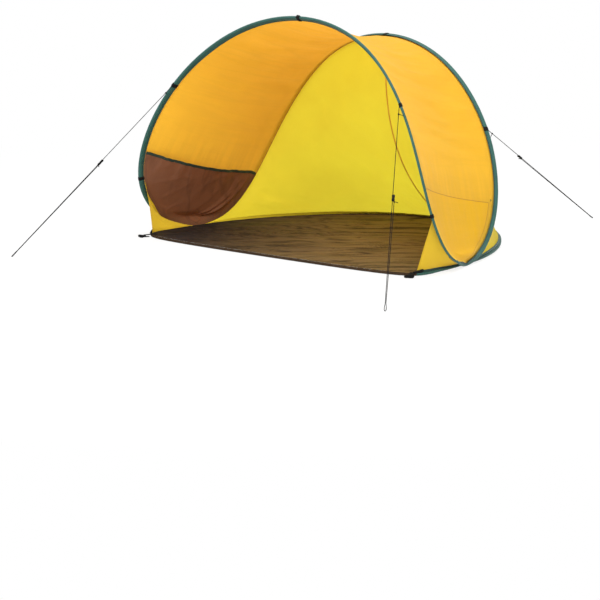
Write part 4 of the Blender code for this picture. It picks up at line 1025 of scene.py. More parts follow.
def make_gussets():
    """Each hangs from its edge on the front sleeve's inner lip, over the tube, down to the base sleeve."""
    rows, grid = 22, []
    for i in np.linspace(0.0, CORNER_STATION, 40):
        span, lower = Span(i), floor.front(i)
        over = [span.end(span.front, a * span.size, b)
                for a, b in ((0.0166, 0.0027), (0.0105, 0.0041), (0.0048, 0.0056))]
        top, low = span.front.inside(-0.0010, 0.0064), wall_low(lower)
        normal = inside_normal(unit(span.front.along + lower.along), low - top, top)
        sag = normal * GUSSET_SAG * (i / CORNER_STATION) ** 2
        round_tube = over + [mix(top, low, j / rows) for j in range(rows + 1)]
        straight = [mix(over[0], low, (j / (rows + 3)) ** 1.3) for j in range(rows + 4)]
        part = float(ease((i - 3.2) / 2.2))
        grid.append([mix(a, b, part) + sag * bow(j / (rows + 3))
                     for j, (a, b) in enumerate(zip(round_tube, straight))])
    grid = np.array(grid)
    for sign, label in SIDES:
        lines = [line * (sign, 1.0, 1.0) for line in flange_lines(grid)]
        make_flange("base_sleeve_leg_" + label, *lines, shaded_flange_finish)
    folds = waves(flat_map(grid), (9.0, 20.0), 55.0)
    grid = grid + grid_normals(grid) * (folds * 0.003 * faded(grid, 0.026, 0.06))[..., None]
    # The free front edge is folded back on itself
    inward = grid_normals(grid)[-1]
    back = unit(grid[-4, 10] - grid[-1, 10])
    fold = [grid[-1] + inward * a + back * b for a, b in ((0.0008, 0.0002), (0.0009, 0.0105))]
    grid = np.concatenate([grid, fold])
    maps = {"flat": flat_map(grid), "edge": edge_map(grid, free_ends=True)}
    for sign, label in SIDES:
        sewn_sheet("gusset_cloth_" + label, grid * (sign, 1.0, 1.0), maps, shaded_gusset_finish, "wall_cloth",
                   "side_gusset_" + label)


# Sleeves

# Half of a sleeve's section, from its lip's edge to its nose: flat tape, sewn down, round the wire
LIP_START = 0.0016
LIP_HALF = [
    (SLEEVE_LIP, 0.0005), (SLEEVE_LIP, 0.0014), (0.0166, 0.0019), (0.0150, 0.0019), (0.0140, 0.0015),
    (0.0132, 0.0019), (0.0112, 0.0022), (0.0085, 0.0028), (0.0062, 0.0036), (0.0038, 0.0045),
    (LIP_START, 0.0050), (-0.0010, 0.00490), (-0.0032, 0.00382), (-0.0046, 0.0020), (-0.00497, 0.0),
]
PLAIN_LIPS = (1.0, 0.0)


def lip_half(size):
    """One side of the section, whose lip shrinks to nothing under the cloth as its size goes to 0."""
    return [(LIP_START + (a - LIP_START) * (0.20 + 0.80 * size), b * (0.80 + 0.20 * size)) if a > LIP_START
            else (a, b) for a, b in LIP_HALF]


def sleeve_piece(name, stations, lips, finish, slot, node, closed=False):
    """A sleeve swept round its stations, from its outer lip round the nose to its inner lip, with small
    puckers, and stitches along its lips."""
    grid = []
    for station, (outer, inner) in zip(stations, lips):
        section = [(a, -b) for a, b in lip_half(outer)] + lip_half(inner)[-2::-1]
        grid.append([station.inside(a, b) for a, b in section])
    grid, centres = np.array(grid), np.array([s.point for s in stations])
    run = run_of(centres)
    pull = waves_along(run, 52.0, 2.0) * 0.5 + waves_along(run, 140.0, 6.0) * 0.35
    out = grid - centres[:, None, :]
    reach = np.linalg.norm(out, axis=2, keepdims=True)
    grid = grid + out / np.maximum(reach, 1e-9) * (pull[:, None, None] * 0.00055)
    around = lengths_over(grid, 1)
    flat = map_of(run[:, None], around)
    # One more column and row in the map, for the faces that close the tube
    last = map_of(run[:, None], around[:, :1] + around[:, -1:] + 0.001)
    flat = np.concatenate([flat, last], axis=1)
    flat = np.concatenate([flat, flat[-1:] + (run[1] - run[0], 0.0)], axis=0)
    dress(new_piece(name, grid_mesh(name, grid, {"flat": flat}, closed, True), finish), slot, node)


def make_sleeves():
    """The whole canopy hoop's from the front middle over the right foot, the base hoop's, and the hem."""
    numbers = paced(2.0, 14, 130)
    fronts = [arches.pair(i)[0] for i in numbers[::-1]]
    half = [Station(s.point, -s.along, s.inward) for s in fronts] + [arches.pair(i)[1] for i in numbers[1:]]
    # Outer and inner lip: at the sides, the roof covers the front arch's outer one
    lips = [(slot_share(i) * (0.26 + 0.74 * bare_top(i)), Span(i).size) for i in numbers[::-1]]
    lips += [PLAIN_LIPS] * (len(half) - len(lips))
    sleeve_piece("canopy_sleeve_tape", both_halves(half, closed=True), lips + lips[-2:0:-1], teal_finish,
                 "sleeve_tape", "canopy_sleeve", closed=True)
    base = floor.half(CORNER_STATION, 44, 150)
    front = [floor.front(i) for i in np.linspace(CORNER_STATION + 0.01, FLOOR_STATION, 90)]
    for name, half, finish, slot, node in (
        ("base_sleeve_tape", base, teal_finish, "sleeve_tape", "base_sleeve"),
        ("front_hem_cloth", front, hem_finish, "floor_cloth", "front_hem"),
    ):
        stations = both_halves(half)
        sleeve_piece(name, stations, [PLAIN_LIPS] * len(stations), finish, slot, node)


def tube_piece(name, points, radius, finish, slot, node=None, body="tent", sides=10, caps=True):
    """A round tube as one closed mesh whose frame doesn't twist, with rounded ends where it has caps."""
    points = np.array(points, float)
    radii = [radius] * len(points)
    if caps:
        start, end = unit(points[0] - points[1]), unit(points[-1] - points[-2])
        points = np.concatenate([points[:1], points, points[-1:]])
        radii = [radius * 0.55] + radii + [radius * 0.55]
        points[1] = points[0] - start * radius * 0.45
        points[-2] = points[-1] - end * radius * 0.45
    ways = np.gradient(points, axis=0)
    ways = ways / np.linalg.norm(ways, axis=1, keepdims=True)
    side = unit(np.cross(ways[0], (0.3, 0.5, 0.8)))
    grid = []
    for point, way, r in zip(points, ways, radii):
        side = unit(side - way * (side @ way))
        grid.append([point + r * (side * c + np.cross(way, side) * s) for c, s in ring_of(sides)])
    grid = np.array(grid)
    around = np.arange(sides + 1) * (math.tau * radius / sides)
    return solid(name, grid, run_of(grid.mean(axis=1)), around, finish, slot, node, body)


def make_bindings():
    """Thin bindings over the seams inside: along the rear arch, under the pockets, and round the floor."""
    numbers = np.linspace(POCKET_STATION, ARCH_STATION, 100)
    line = [arches.pair(i)[1].inside(-0.0012, 0.0066) for i in numbers]
    tube_piece("roof_seam_binding", both_halves(line), 0.0011, piping_finish, "roof_cloth", sides=6)
    line = []
    for i in np.linspace(CORNER_STATION, 0.0, 40):
        span, cover = Span(i), pocket_cover(i)
        distance, lift = mix(0.0166, -0.0014, cover) * span.size, mix(0.0036, 0.0074, cover)
        line.append(span.end(span.front, distance, lift))
    line += [arches.pair(i)[1].inside(-0.0012, 0.0070) for i in np.linspace(0.0, POCKET_SEAM_TOP, 40)][1:]
    for sign, label in SIDES:
        tube_piece("pocket_seam_binding_" + label, np.array(line) * (sign, 1.0, 1.0), 0.0010,
                   pocket_seam_finish, "pocket_cloth", sides=6)
    line = [station.at(0.0040, 0.0058) for station in floor.half(CORNER_STATION, 40, 130)]
    tube_piece("floor_seam_binding", both_halves(line), 0.0011, dark_piping_finish, "floor_cloth", sides=6)


# Floor

# Ways in from the wire and up from it, of the rings that lead from the sleeve to the ground
FLOOR_RINGS = [(0.0012, 0.0053), (0.0036, 0.0053), (0.0075, 0.0040), (0.0110, 0.0030), (0.0150, 0.0022),
               (0.0220, 0.0005), (0.0330, -0.0020)]
FLOOR_LIFT = 0.0009
FLOOR_LAID_RINGS = 64


def make_floor():
    """The floor cloth: over the sleeve's inner side, down to the ground, and laid flat with creases."""
    loop = both_halves(floor.half(FLOOR_STATION, 96, 150), closed=True)
    grid = [[s.at(a, b) for s in loop] for a, b in FLOOR_RINGS]
    inner = np.array([s.at(0.048, FLOOR_LIFT - SLEEVE_RADIUS) for s in loop])
    grid += [mix(inner, (0.0, 0.20, FLOOR_LIFT), k / FLOOR_LAID_RINGS) for k in range(FLOOR_LAID_RINGS)]
    grid = np.array(grid).transpose(1, 0, 2)
    flat = np.concatenate([grid[..., :2], grid[:1, :, :2]])
    # Creases fan out from the left front corner
    along, beside = grid[..., :2] @ (0.763, 0.646), grid[..., :2] @ (-0.646, 0.763)
    beside = (beside + 0.16) / np.clip((along + 0.74) / 0.9, 0.25, 1.0) ** 0.6
    turned = map_of(along, beside)
    warp = waves(turned, (3.0, 5.0), 4.0) * 0.045 + waves(turned, (9.0, 12.0), 5.0) * 0.010
    turned = map_of(along, beside + warp)
    height = ridges(turned, (1.9, 17.0), 2.0, 4.2) ** 1.5 * 0.0046
    height = height + ridges(turned, (3.4, 34.0), 9.0, 3.6) ** 1.5 * 0.0024
    height = height + np.maximum(waves(turned, (1.6, 11.0), 17.0) + 0.15, 0) * 0.007
    grid[..., 2] += height * ease((np.arange(grid.shape[1]) - 4) / 6.0)
    edge = map_of(lengths_over(grid, 1), run_of(grid[:, 0])[:, None])
    edge = np.concatenate([edge, edge[-1:] + (0.0, edge[1, 0, 1])])
    mesh = grid_mesh("floor_cloth_laid", grid, {"flat": flat, "edge": edge}, closed_rows=True)
    rows, columns = grid.shape[:2]
    close(mesh, [range(columns - 1, rows * columns, columns)], turn=False)
    piece = dress(new_piece("floor_cloth_laid", mesh, floor_finish), "floor_cloth", "groundsheet")


# Pockets

POCKET_BULGE = 0.024
POCKET_DIP = 0.007
POCKET_GAP = 0.0016
POCKET_ROWS = 40
# Distances from the front wire of a pocket's first rows: beside the sleeve's lip, and laid over the tube
POCKET_PLACES = [(POCKET_START, -0.0008), (0.0186, 0.0040), (0.0196, 0.0090), (0.0210, 0.0140),
                 (0.0226, 0.0180), (0.0246, 0.0220), (0.0270, 0.0262)]


def pocket_cover(i):
    """1 at the feet, where a pocket covers the front sleeve's inner side, and 0 above them."""
    return 1.0 - float(ease((i - 2.6) / 1.6))


def pocket_column(i):
    """The roof's course lifted off it: a pocket that bellies out and droops at its mouth."""
    span, before, cover = Span(i), Span(max(i - 0.5, 0.0)), pocket_cover(i)
    fullness = i / POCKET_STATION
    down = mix(before.front.point, before.rear.point, 0.5) - mix(span.front.point, span.rear.point, 0.5)
    down = unit(down) if i > 0.01 else -UP
    wide = max(span.chord - POCKET_START * span.size, 1e-6)

    def lift(ahead):
        """How far the pocket lies off the roof, its belly on top of that, and its droop."""
        share = min(max((ahead - POCKET_START * span.size) / wide, 0.0), 1.0)
        rim = 0.0012 * max(0.0, 1 - (ahead - POCKET_START) / 0.030)
        belly = 6.75 * share * (1 - share) ** 2 * (0.55 + 0.45 * fullness)
        droop = down * POCKET_DIP * fullness**2 * bow(share)
        return (POCKET_GAP + rim) * (0.5 + 0.5 * span.size), POCKET_BULGE * fullness**1.5 * belly, droop

    points = []
    for beside, over in POCKET_PLACES:
        distance = (beside * (1 - cover) + over * cover) * span.size
        base, bulge, droop = lift(distance)
        base = base * (1 - cover) + (0.0018 + lap(distance)) * cover
        points.append(span.end(span.front, distance, base + bulge) + droop)
    for point, ahead, behind in span.body(POCKET_ROWS):
        base, bulge, droop = lift(ahead)
        points.append(point + span.normal * (base + bulge + lap(behind) + lap(ahead) * cover) + droop)
    for distance in (0.0270, 0.0240, 0.0200, 0.0160, 0.0110, 0.0050, -0.0006):
        distance *= span.size
        base, bulge, droop = lift(span.chord - distance)
        points.append(span.end(span.rear, distance, base + bulge + lap(distance)) + droop)
    return points


def pocket_wrinkles(grid, flat, fullness, seed):
    """Gathers below the mouth, slanting folds, and wide folds from the mouth's rear end to the bottom."""
    slack = waves(flat, (6.0, 6.0), seed + 3)
    bend = flat + slack[..., None] * (0.04, 0.03)
    gathers = waves(bend, (42.0, 5.0), seed) + 0.5 * waves(bend, (80.0, 9.0), seed + 8)
    slanting = ridges(bend @ np.array(((0.75, -0.66), (0.66, 0.75))), (5.0, 17.0), seed + 5, 3.6)
    below = flat[-1:, :, 1] - flat[..., 1]
    most = gathers * 0.0068 * (0.10 + 0.90 * ease(1 - below / 0.13)) + slack * 0.005 + slanting**2 * 0.0022
    across = lengths_over(grid, 1)
    for offset, deep in ((0.034, 0.0110), (0.066, 0.0060)):
        off_line = (across[:, -1:] - across - offset - below * 0.10) / 0.012
        most = most + deep * np.exp(-(off_line**2)) * ease(below / 0.05) * ease((0.30 - below) / 0.12)
    body = faded(grid, 0.004, 0.06)
    most = most * body * ease(fullness * POCKET_STATION / 3.0)
    return np.maximum(most, -0.35 * (POCKET_GAP + POCKET_BULGE * fullness * body))


def make_pockets():
    numbers = np.linspace(0.0, POCKET_TOP, 78)
    grid = np.array([pocket_column(i) for i in numbers])
    flat = flat_map(grid)
    for (sign, label), seed in zip(SIDES, (61.0, 73.0)):
        most = pocket_wrinkles(grid, flat, (numbers / POCKET_STATION)[:, None], seed)
        moved = (grid + grid_normals(grid) * most[..., None]) * (sign, 1.0, 1.0)
        sewn_sheet("pocket_cloth_" + label, moved, {"flat": flat, "edge": edge_map(moved)}, pocket_finish,
                   "pocket_cloth", "pocket_" + label)
        make_pocket_tape(label, moved[-1, 1:-1], moved[-3, 1:-1])


# Half of the section of the tape on a pocket's edge: down from the edge, and out from the cloth
POCKET_TAPE_HALF = [(0.0084, 0.0003), (0.0084, 0.0009), (0.0066, 0.0011), (0.0, 0.0011), (-0.0020, 0.0009),
                    (-0.0028, 0.0004)]


def make_pocket_tape(label, mouth, below):
    """Folded tape over a pocket's mouth: flat on both sides and rounded over the top."""
    section = POCKET_TAPE_HALF + [(a, -b) for a, b in POCKET_TAPE_HALF[::-1]]
    grid = []
    for point, under, way in zip(mouth, below, np.gradient(mouth, axis=0)):
        way = unit(way)
        down = under - point
        down = unit(down - way * (down @ way))
        grid.append([point + down * a + np.cross(way, down) * b for a, b in section])
    solid("pocket_binding_" + label, np.array(grid), run_of(mouth), np.arange(len(section) + 1) * 0.0018,
          pocket_tape_finish, "pocket_edge_tape", "pocket_tape_" + label)


# Webbing

# Places round a sleeve that a band follows, from the outer lip to the nose
BAND_HALF = [(0.0176, -0.0021), (0.0150, -0.0022), (0.0110, -0.0026), (0.0070, -0.0036), (0.0038, -0.0047),
             (0.0010, -0.0052), (-0.0022, -0.0047), (-0.0044, -0.0030), (-0.0052, 0.0)]
BAND_THICKNESS = 0.0012


def band_faces(path, near, thickness):
    """Inner and outer line of a band over a path of places, both moved off it to its outside."""
    line = np.array(path, float)
    ways = np.gradient(line, axis=0)
    ways = ways / np.linalg.norm(ways, axis=1, keepdims=True)
    sides = np.stack([-ways[:, 1], ways[:, 0]], axis=1)
    return line + sides * near, line + sides * (near + thickness)


def full_thickness(share):
    """A band's thickness over its width as a share of the full one: its edges are rounded."""
    return 0.35 + 0.65 * (1 - (2 * share - 1) ** 8)


def webbing_solid(name, grid, run, node=None):
    grid = np.array(grid)
    around = lengths_over(grid, 1)[0]
    solid(name, grid, run, np.append(around, around[-1] + 0.001), webbing_finish, "black_webbing", node,
          crosswise=True)


def band_piece(name, node, stations, outside_only=False, rise=0.0):
    """A webbing band over a sleeve, round its nose to its inner lip or only over the nose. A loop rises off
    the sleeve."""
    back = [(a, -b) for a, b in BAND_HALF[-2::-1]]
    inner, outer = band_faces(BAND_HALF + (back[:2] if outside_only else back), 0.0001, BAND_THICKNESS)
    grid = []
    for station, share in zip(stations, np.linspace(0.0, 1.0, len(stations))):
        both = np.concatenate([mix(inner, outer, full_thickness(share)), inner[::-1]])
        both[:, 0] -= rise * bow(share) * ease((0.004 - both[:, 0]) / 0.008)
        grid.append([station.inside(a, b) for a, b in both])
    webbing_solid(name, grid, run_of([s.point for s in stations]), node)


def stations_over(maker, length, share, width, count=9):
    """Stations over a band's width, round a share of the half arch's length."""
    return [maker(share + (k / (count - 1) - 0.5) * width / length) for k in range(count)]


def make_webbing():
    front = arches.front_share, arches.front_line.length
    rear = arches.rear_share, arches.rear_line.length
    for label, arch, outside_only in (("front", front, False), ("rear", rear, True)):
        loop = both_halves(stations_over(*arch, 1 - APEX_LOOP_WIDTH / 4 / arch[1], APEX_LOOP_WIDTH / 2, 6))
        band_piece(label + "_apex_webbing", label + "_apex_loop", loop, outside_only, APEX_LOOP_RISE)
    gusset_share = POCKET_FRONT_SHARE * CORNER_STATION / POCKET_STATION + GUSSET_TAB_WIDTH / front[1]
    for name, node, arch, share, width, outside_only in (
        ("guy_webbing_front_", "guy_tab_front_", front, FRONT_GUY_SHARE, GUY_TAB_WIDTH, False),
        ("guy_webbing_rear_", "guy_tab_rear_", rear, REAR_GUY_SHARE, GUY_TAB_WIDTH, True),
        ("gusset_webbing_", "gusset_tab_", front, gusset_share, GUSSET_TAB_WIDTH, False),
    ):
        tab = stations_over(*arch, share, width)
        band_piece(name + "right", node + "right", tab, outside_only)
        band_piece(name + "left", node + "left", [s.mirrored() for s in tab], outside_only)


# Guy lines

def sleeve_outline(cover):
    """Outline of a sleeve or of a band on it, in its section."""
    lip = 0.0023 + cover
    radius = SLEEVE_RADIUS + cover / math.cos(math.pi / 8)
    nose = [(radius * c, radius * s) for c, s in ring_of(8)[2:7]]
    return [(SLEEVE_LIP, lip)] + nose + [(SLEEVE_LIP, -lip)]


def leave(station, goal, cover):
    """Where a cord on its way to a goal starts, just clear of a sleeve, and its direction."""
    along = unit(station.along)
    level = goal - station.point
    level = unit(level - along * (level @ along))
    inward, across = level @ station.inward, level @ station.across
    outline = sleeve_outline(cover)
    best, normal = 0.0, station.inward
    for (a0, b0), (a1, b1) in zip(outline, outline[1:] + outline[:1]):
        turn = inward * (b1 - b0) - across * (a1 - a0)
        if abs(turn) < 1e-12:
            continue
        distance = (a0 * (b1 - b0) - b0 * (a1 - a0)) / turn
        share = (a0 * across - b0 * inward) / turn
        if distance > best and -1e-9 <= share <= 1 + 1e-9:
            best = distance
            facet = station.inward * (b1 - b0) - station.across * (a1 - a0)
            normal = unit(facet) * math.copysign(1.0, facet @ level)
    surface = station.point + level * best
    way = unit(goal - surface)
    lean = min(1.0, abs(way @ normal))
    return surface + way * (SEAM_GAP + LINE_RADIUS * math.sqrt(1 - lean**2)) / lean, way


def knot_points(centre, way, side, radius, count=46):
    """A trefoil of cord, as one closed run of points, whose long axis lies along way."""
    up = np.cross(way, side)
    points = []
    for t in math.tau * np.arange(count + 1) / count:
        x, y, z = np.sin(t) + 2 * np.sin(2 * t), np.cos(t) - 2 * np.cos(2 * t), -np.sin(3 * t)
        points.append(centre + (way * x + side * y) * radius / 3 * 0.72 + up * z * radius * 0.42)
    return points


class Guy:
    """One guy line from its tab on an arch to its eye on the ground."""

    def __init__(self, name, ground, runner_share):
        self.name = name
        front = name.startswith("front")
        share = FRONT_GUY_SHARE if front else REAR_GUY_SHARE
        on_arch = arches.front_share if front else arches.rear_share
        tab, self.foot = on_arch(share), on_arch(share - BRIDLE_FOOT_SHARE)
        if name.endswith("left"):
            tab, self.foot = tab.mirrored(), self.foot.mirrored()
        self.end = np.array((*ground, LINE_RADIUS + SEAM_GAP))
        self.start, self.way = leave(tab, self.end, WEB_COVER)
        self.side = unit(np.cross(self.way, UP))
        self.length = np.linalg.norm(self.end - self.start)
        self.joint = self.start + self.way * BRIDLE_REACH
        self.runner = self.start + self.way * self.length * runner_share
        self.runner_middle = self.runner - self.side * RUNNER_BORE_OFFSET
        aside = RUNNER_KNOT_RADIUS + SEAM_GAP
        self.knot_centre = self.runner_middle + self.way * (RUNNER_LENGTH / 2 + aside) - self.side * aside
        self.body = "slider_" + name

    def eye_point(self, step):
        turn = step / EYE_STEPS
        angle = math.tau * turn
        along = EYE_LENGTH * (1 - math.cos(angle)) / 2
        strand = 2 * LINE_RADIUS + STRAND_GAP
        aside = EYE_HALF_WIDTH * EYE_WIDTH_SHARE * math.sin(angle) * (1 - math.cos(angle)) - strand * turn
        return self.end + self.way * (along - EYE_LENGTH) + self.side * aside

    def cord(self, name, points, node=None, body="tent", radius=LINE_RADIUS, caps=True):
        return tube_piece(name + self.name, points, radius, cord_finish, "line_cord",
                          node and node + self.name, body, caps=caps)

    def knot(self, name, centre, way, side, radius, node=None, body="tent"):
        points = knot_points(centre, way, side, radius)
        return self.cord(name, points, node, body, LINE_RADIUS * 0.95, caps=False)

    def declare(self, piece, points, length):
        path = [tuple(p + SHIFT) for p in points]
        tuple(path[0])

    def make(self):
        joint_knot = self.knot("bridle_knot_", self.joint, self.way, self.side, LINE_KNOT_RADIUS)
        first, way = leave(self.foot, self.joint, 0.0)
        last = self.joint - way * LINE_KNOT_RADIUS * 0.8
        points = [mix(first - way * 0.0004, last, k / 10) for k in range(11)]
        bridle = self.cord("guy_bridle_cord_", points, "guy_bridle_")
        reach = self.end - self.way * EYE_LENGTH - self.start
        points = [self.start + reach * k / 60 for k in range(61)]
        points += [self.eye_point(k) for k in range(2, EYE_STEPS - 1)]
        line = self.cord("guy_cord_", points, "guy_line_")
        self.declare(line, points, run_of(points)[-1])

        knot = self.knot("runner_knot_cord_", self.knot_centre, self.side, self.way, RUNNER_KNOT_RADIUS,
                         "runner_knot_", self.body)
        tail = [self.knot_centre - self.side * (0.0020 + (RUNNER_TAIL - 0.0020) * share)
                + self.way * 0.0045 * share**2 for share in np.arange(9) / 8]
        self.cord("runner_tail_cord_", tail, body=self.body)
        self.make_runner()

        first = self.eye_point(EYE_STEPS - 2)
        way = unit(self.knot_centre - first)
        first, last = first + way * EYE_GAP, self.knot_centre - way * RUNNER_KNOT_RADIUS * 0.8
        points = [mix(first, last, k / 40) for k in range(41)]
        strand = self.cord("guy_return_cord_", points, "guy_return_", None)
        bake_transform(strand)
        self.declare(strand, points, np.linalg.norm(last - first))

    def make_runner(self):
        """A moulded slider with a bore for the line, a waist for the fingers and soft edges."""
        corners, power, half = 32, 0.55, RUNNER_LENGTH / 2
        outline = [(RUNNER_WIDTH / 2 * math.copysign(abs(c) ** power, c),
                    RUNNER_THICKNESS / 2 * math.copysign(abs(s) ** power, s)) for c, s in ring_of(corners)]
        turns = [math.atan2(b, a - RUNNER_BORE_OFFSET) for a, b in outline]
        bore, flared = ([(RUNNER_BORE_OFFSET + r * math.cos(turn), r * math.sin(turn)) for turn in turns]
                        for r in (RUNNER_BORE, RUNNER_BORE * 1.25))
        end = [(half, 0.74), (half - 0.0004, 0.86), (half - 0.0014, 0.96), (half - 0.003, 1.0),
               (half - 0.006, 0.985), (0.003, 0.90)]
        levels = [(0.0012 - half, bore, 1.0), (0.0002 - half, flared, 1.0)]
        levels += [(-rise, outline, size) for rise, size in end]
        levels += [(rise, outline, size) for rise, size in end[::-1]]
        levels += [(half - 0.0002, flared, 1.0), (half - 0.0012, bore, 1.0)]
        flat = np.cross(self.way, self.side)
        grid = np.array([[self.runner_middle + self.way * rise + self.side * a * size + flat * b * size
                          for a, b in ring] for rise, ring, size in levels])
        run, around = np.arange(len(levels) + 1) * 0.002, np.arange(corners + 1) * 0.001
        solid("runner_body_" + self.name, grid, run, around, plastic_finish, "black_plastic",
              "runner_" + self.name, self.body)


# Corners

STRAP_WIDTH = 0.018
STRAP_INSET = 0.015
STRAP_THICKNESS = 0.0020
STRAP_REACH = 0.024
STRAP_TAIL = 0.016
STRAP_ROWS = 9
RING_ROD = 0.0022
RING_LENGTH = 0.034
RING_WIDTH = 0.026
RING_CLEARANCE = 0.0004


def corner_frame(label):
    """Middle of the strap on the hem, and the ways along and in there."""
    first, second = floor.front(CORNER_STATION), floor.front(CORNER_STATION + 1)
    reach = second.point - first.point
    middle = floor.front(CORNER_STATION + STRAP_INSET / np.linalg.norm(reach))
    along = unit(reach)
    inward = unit(middle.inward - along * (middle.inward @ along))
    return [way * (MIRROR if label == "left" else 1.0) for way in (middle.point, along, inward)]


def make_corner(label):
    """The strap that wraps the hem and holds a peg ring in its bend, and the ring."""
    point, along, inward = corner_frame(label)
    out = -(SLEEVE_RADIUS + STRAP_REACH)
    bend = RING_ROD + RING_CLEARANCE
    up = bend + STRAP_THICKNESS + SEAM_GAP - SLEEVE_RADIUS
    path = [(0.0170, 0.0026), (0.0120, 0.0028), (0.0070, 0.0037), (0.0038, 0.0049), (0.0005, 0.0055),
            (-0.0030, 0.0050), (-0.0056, 0.0038), (-0.0090, up + bend + 0.0004), (-0.0140, up + bend)]
    path += [(out + bend * math.cos(math.radians(a)), up + bend * math.sin(math.radians(a)))
             for a in np.linspace(90, 270, 13)]
    path += [(out + back, up - bend) for back in (0.006, 0.011, STRAP_TAIL)]
    inner, outer = band_faces(path, 0.0, -STRAP_THICKNESS)
    mid = (inner + outer) / 2
    grid = []
    for share in np.arange(STRAP_ROWS) / (STRAP_ROWS - 1):
        place, full = point + along * (share - 0.5) * STRAP_WIDTH, full_thickness(share)
        both = np.concatenate([mix(mid, outer, full), mix(mid, inner, full)[::-1]])
        grid.append([place + inward * a + UP * b for a, b in both])
    webbing_solid("corner_webbing_" + label, grid, np.linspace(0.0, STRAP_WIDTH, STRAP_ROWS),
                  "corner_strap_" + label)

    half_long, half_wide, turn = RING_LENGTH / 2 - RING_ROD, RING_WIDTH / 2 - RING_ROD, 2.6 * RING_ROD
    line, thicker = [], []
    for corner, (along_sign, out_sign) in enumerate(((1, 1), (-1, 1), (-1, -1), (1, -1))):
        for step in range(9):
            angle = math.radians(90 * corner + 90 * step / 8)
            a = along_sign * (half_long - turn) + turn * math.cos(angle)
            b = out_sign * (half_wide - turn) + turn * math.sin(angle)
            line.append(point + along * a + inward * (out - half_wide + b) + UP * up)
            thicker.append(float(ease((half_wide * 0.6 - b) / half_wide)))
    sides, grid = 14, []
    for k, (place, thick) in enumerate(zip(line, thicker)):
        # The first place's neighbours are the second one and itself
        way = unit(line[(k + 1) % len(line)] - (line[k - 1] if k else place))
        side = np.cross(way, UP)
        wide, high = RING_ROD * (1 + 0.3 * thick), RING_ROD * (1 + 0.9 * thick)
        grid.append([place + side * wide * c + UP * high * s for c, s in ring_of(sides)])
    solid("corner_ring_body_" + label, np.array(grid), np.arange(len(grid) + 1) * 0.003,
          np.arange(sides + 1) * 0.001, plastic_finish, "black_plastic", "corner_ring_" + label)


def rivet_frame(label):
    """Middle of a rivet, and the way out of the gusset there."""
    low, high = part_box("corner_rivet_" + label)
    sign = -1.0 if label == "left" else 1.0
    return (np.array(low) + np.array(high)) / 2 - SHIFT, unit((0.85 * sign, -0.44, -0.29))


def make_strap_end(label):
    """The strap's other end: over the hem and up the gusset's outer face to the rivet that holds it."""
    rivet, outside = rivet_frame(label)
    point, along, inward = corner_frame(label)
    start = point - along * 0.004 + UP * 0.0042 - inward * 0.0040
    rivet = rivet - outside * 0.0008
    way = unit(rivet - start)
    side = unit(np.cross(outside, way))
    rows, grid = 15, []
    for k in range(rows):
        share = k / (rows - 1)
        middle = mix(start, rivet + way * 0.0075, share) + outside * 0.0022 * bow(share)
        half = 0.0062 * (1 - 0.35 * max(0.0, share - 0.9) * 10)
        ring = [(-half, -0.0003), (-half, 0.0006), (-half * 0.8, 0.0011), (0.0, 0.0013),
                (half * 0.8, 0.0011), (half, 0.0006), (half, -0.0003), (0.0, -0.0004)]
        grid.append([middle + side * a + outside * b for a, b in ring])
    solid("corner_webbing_end_" + label, np.array(grid), np.arange(rows) * 0.002, np.arange(9) * 0.002,
          webbing_finish, "black_webbing", crosswise=True)


# Heights and radii of a snap rivet's rings, from its rim over a groove to its dome
RIVET_LEVELS = [(0.0, 0.0030), (0.0, 0.0044), (0.0006, 0.0046), (0.0011, 0.0043), (0.0010, 0.0036),
                (0.0013, 0.0032), (0.0019, 0.0027), (0.0023, 0.0016), (0.0024, 0.0004)]


def make_rivet(label):
    """A snap rivet: a rim, a groove and a low dome, on the outer face of the gusset."""
    centre, outside = rivet_frame(label)
    across = unit(np.cross(outside, UP))
    side = np.cross(outside, across)
    start, sides = centre - outside * 0.0012, 28
    grid = np.array([[start + outside * rise + (across * c + side * s) * r for c, s in ring_of(sides)]
                     for rise, r in RIVET_LEVELS])
    solid("corner_rivet_dome_" + label, grid, np.arange(len(grid)) * 0.001, np.arange(sides + 1) * 0.001,
          plastic_finish, "black_plastic", "corner_rivet_" + label)


# Stage

def make_camera():
    data = bpy.data.cameras.new("camera")
    data.sensor_width = 36.0
    data.lens = 138.65
    data.clip_end = 60.0
    camera = bpy.data.objects.new("camera", data)
    right = Vector((0.74782697, 0.6638715, -0.00542775))
    up = Vector((-0.12469555, 0.1484857, 0.98102141))
    forward = Vector((-0.6520781, 0.73295745, -0.19382343))
    turn = Matrix((right, up, -forward)).transposed().to_4x4()
    camera.matrix_world = Matrix.Translation((5.6147, -6.6575, 1.4812)) @ turn
    bpy.context.scene.collection.objects.link(camera)
    bpy.context.scene.camera = camera


def lamp(name, place, size, power):
    """A round soft lamp that shines on the tent's middle."""
    data = bpy.data.lights.new(name, "AREA")
    data.shape = "DISK"
    data.size = size
    data.energy = power
    made = bpy.data.objects.new(name, data)
    made.location = place
    made.rotation_euler = (Vector((0.0, 0.0, 0.3)) - Vector(place)).to_track_quat("-Z", "Y").to_euler()
    bpy.context.scene.collection.objects.link(made)


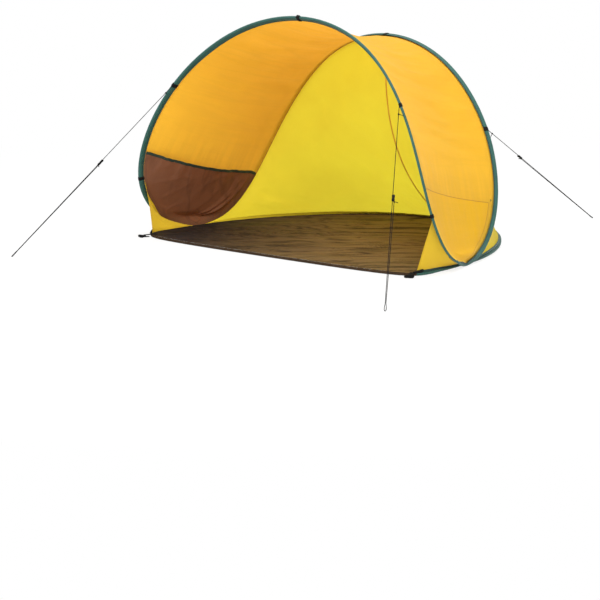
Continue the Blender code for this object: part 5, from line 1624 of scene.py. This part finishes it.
def seen_straight(n):
    """1 for rays from the camera, and for those that a shiny or a clear surface sends on."""
    path = n.add("ShaderNodeLightPath").outputs
    shiny = n.maths("MAXIMUM", path["Is Camera Ray"], path["Is Glossy Ray"])
    return n.maths("MAXIMUM", shiny, path["Is Transmission Ray"])


def make_stage():
    mesh = bpy.data.meshes.new("studio_floor")
    shape = bmesh.new()
    bmesh.ops.create_grid(shape, x_segments=8, y_segments=8, size=14.0)
    shape.to_mesh(mesh)
    shape.free()
    n = Nodes("studio_floor_pale")
    soft = n.spread(n.noise(1.5, 3.0, 0.5), 0.3, 0.7)
    base = n.surface(n.tint(soft, linear(247, 247, 247), linear(252, 252, 252)), 0.9)
    apart = n.add("ShaderNodeVectorMath", operation="LENGTH")
    n.set(apart.inputs[0], n.place())
    glow = n.spread(apart.outputs["Value"], 1.1, 3.2, 0.80, 1.0)
    shader = n.mixed(n.times(seen_straight(n), glow), base, n.made("ShaderNodeEmission", {}))
    stage = new_piece("studio_floor", mesh, n.finish(shader))
    stage.location.z = -0.0005

    n = Nodes("studio", bpy.data.worlds)
    dim = n.made("ShaderNodeBackground", {0: (0.97, 0.98, 1.0), 1: 0.62})
    white = n.made("ShaderNodeBackground", {0: (1.0, 1.0, 1.0), 1: 1.0})
    bpy.context.scene.world = n.finish(n.mixed(seen_straight(n), dim, white), "ShaderNodeOutputWorld")

    lamp("key", (2.6, -3.2, 4.2), 2.6, 190)
    lamp("top", (0.4, 0.6, 4.6), 3.2, 120)
    lamp("left", (-4.0, -2.4, 2.2), 2.8, 18)
    bpy.context.scene.view_settings.view_transform = "Standard"


def finish_frame_nodes():
    """Procedural finishes on the CAD nodes that stay in view."""
    for node, finish in (("canopy_hoop", wire_finish), ("base_hoop", wire_finish),
                         ("canopy_hoop_ferrule", ferrule_finish), ("base_hoop_ferrule", ferrule_finish)):
        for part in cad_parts[node].material_slots:
            part.link = "OBJECT"
            part.material = finish


make_camera()
for guy in GUYS:
    Guy(*guy).make()
make_sleeves()
make_roof()
make_back_wall()
make_gussets()
make_floor()
make_pockets()
make_bindings()
make_webbing()
for corner in ("left", "right"):
    make_corner(corner)
    make_strap_end(corner)
    make_rivet(corner)
finish_frame_nodes()
make_stage()
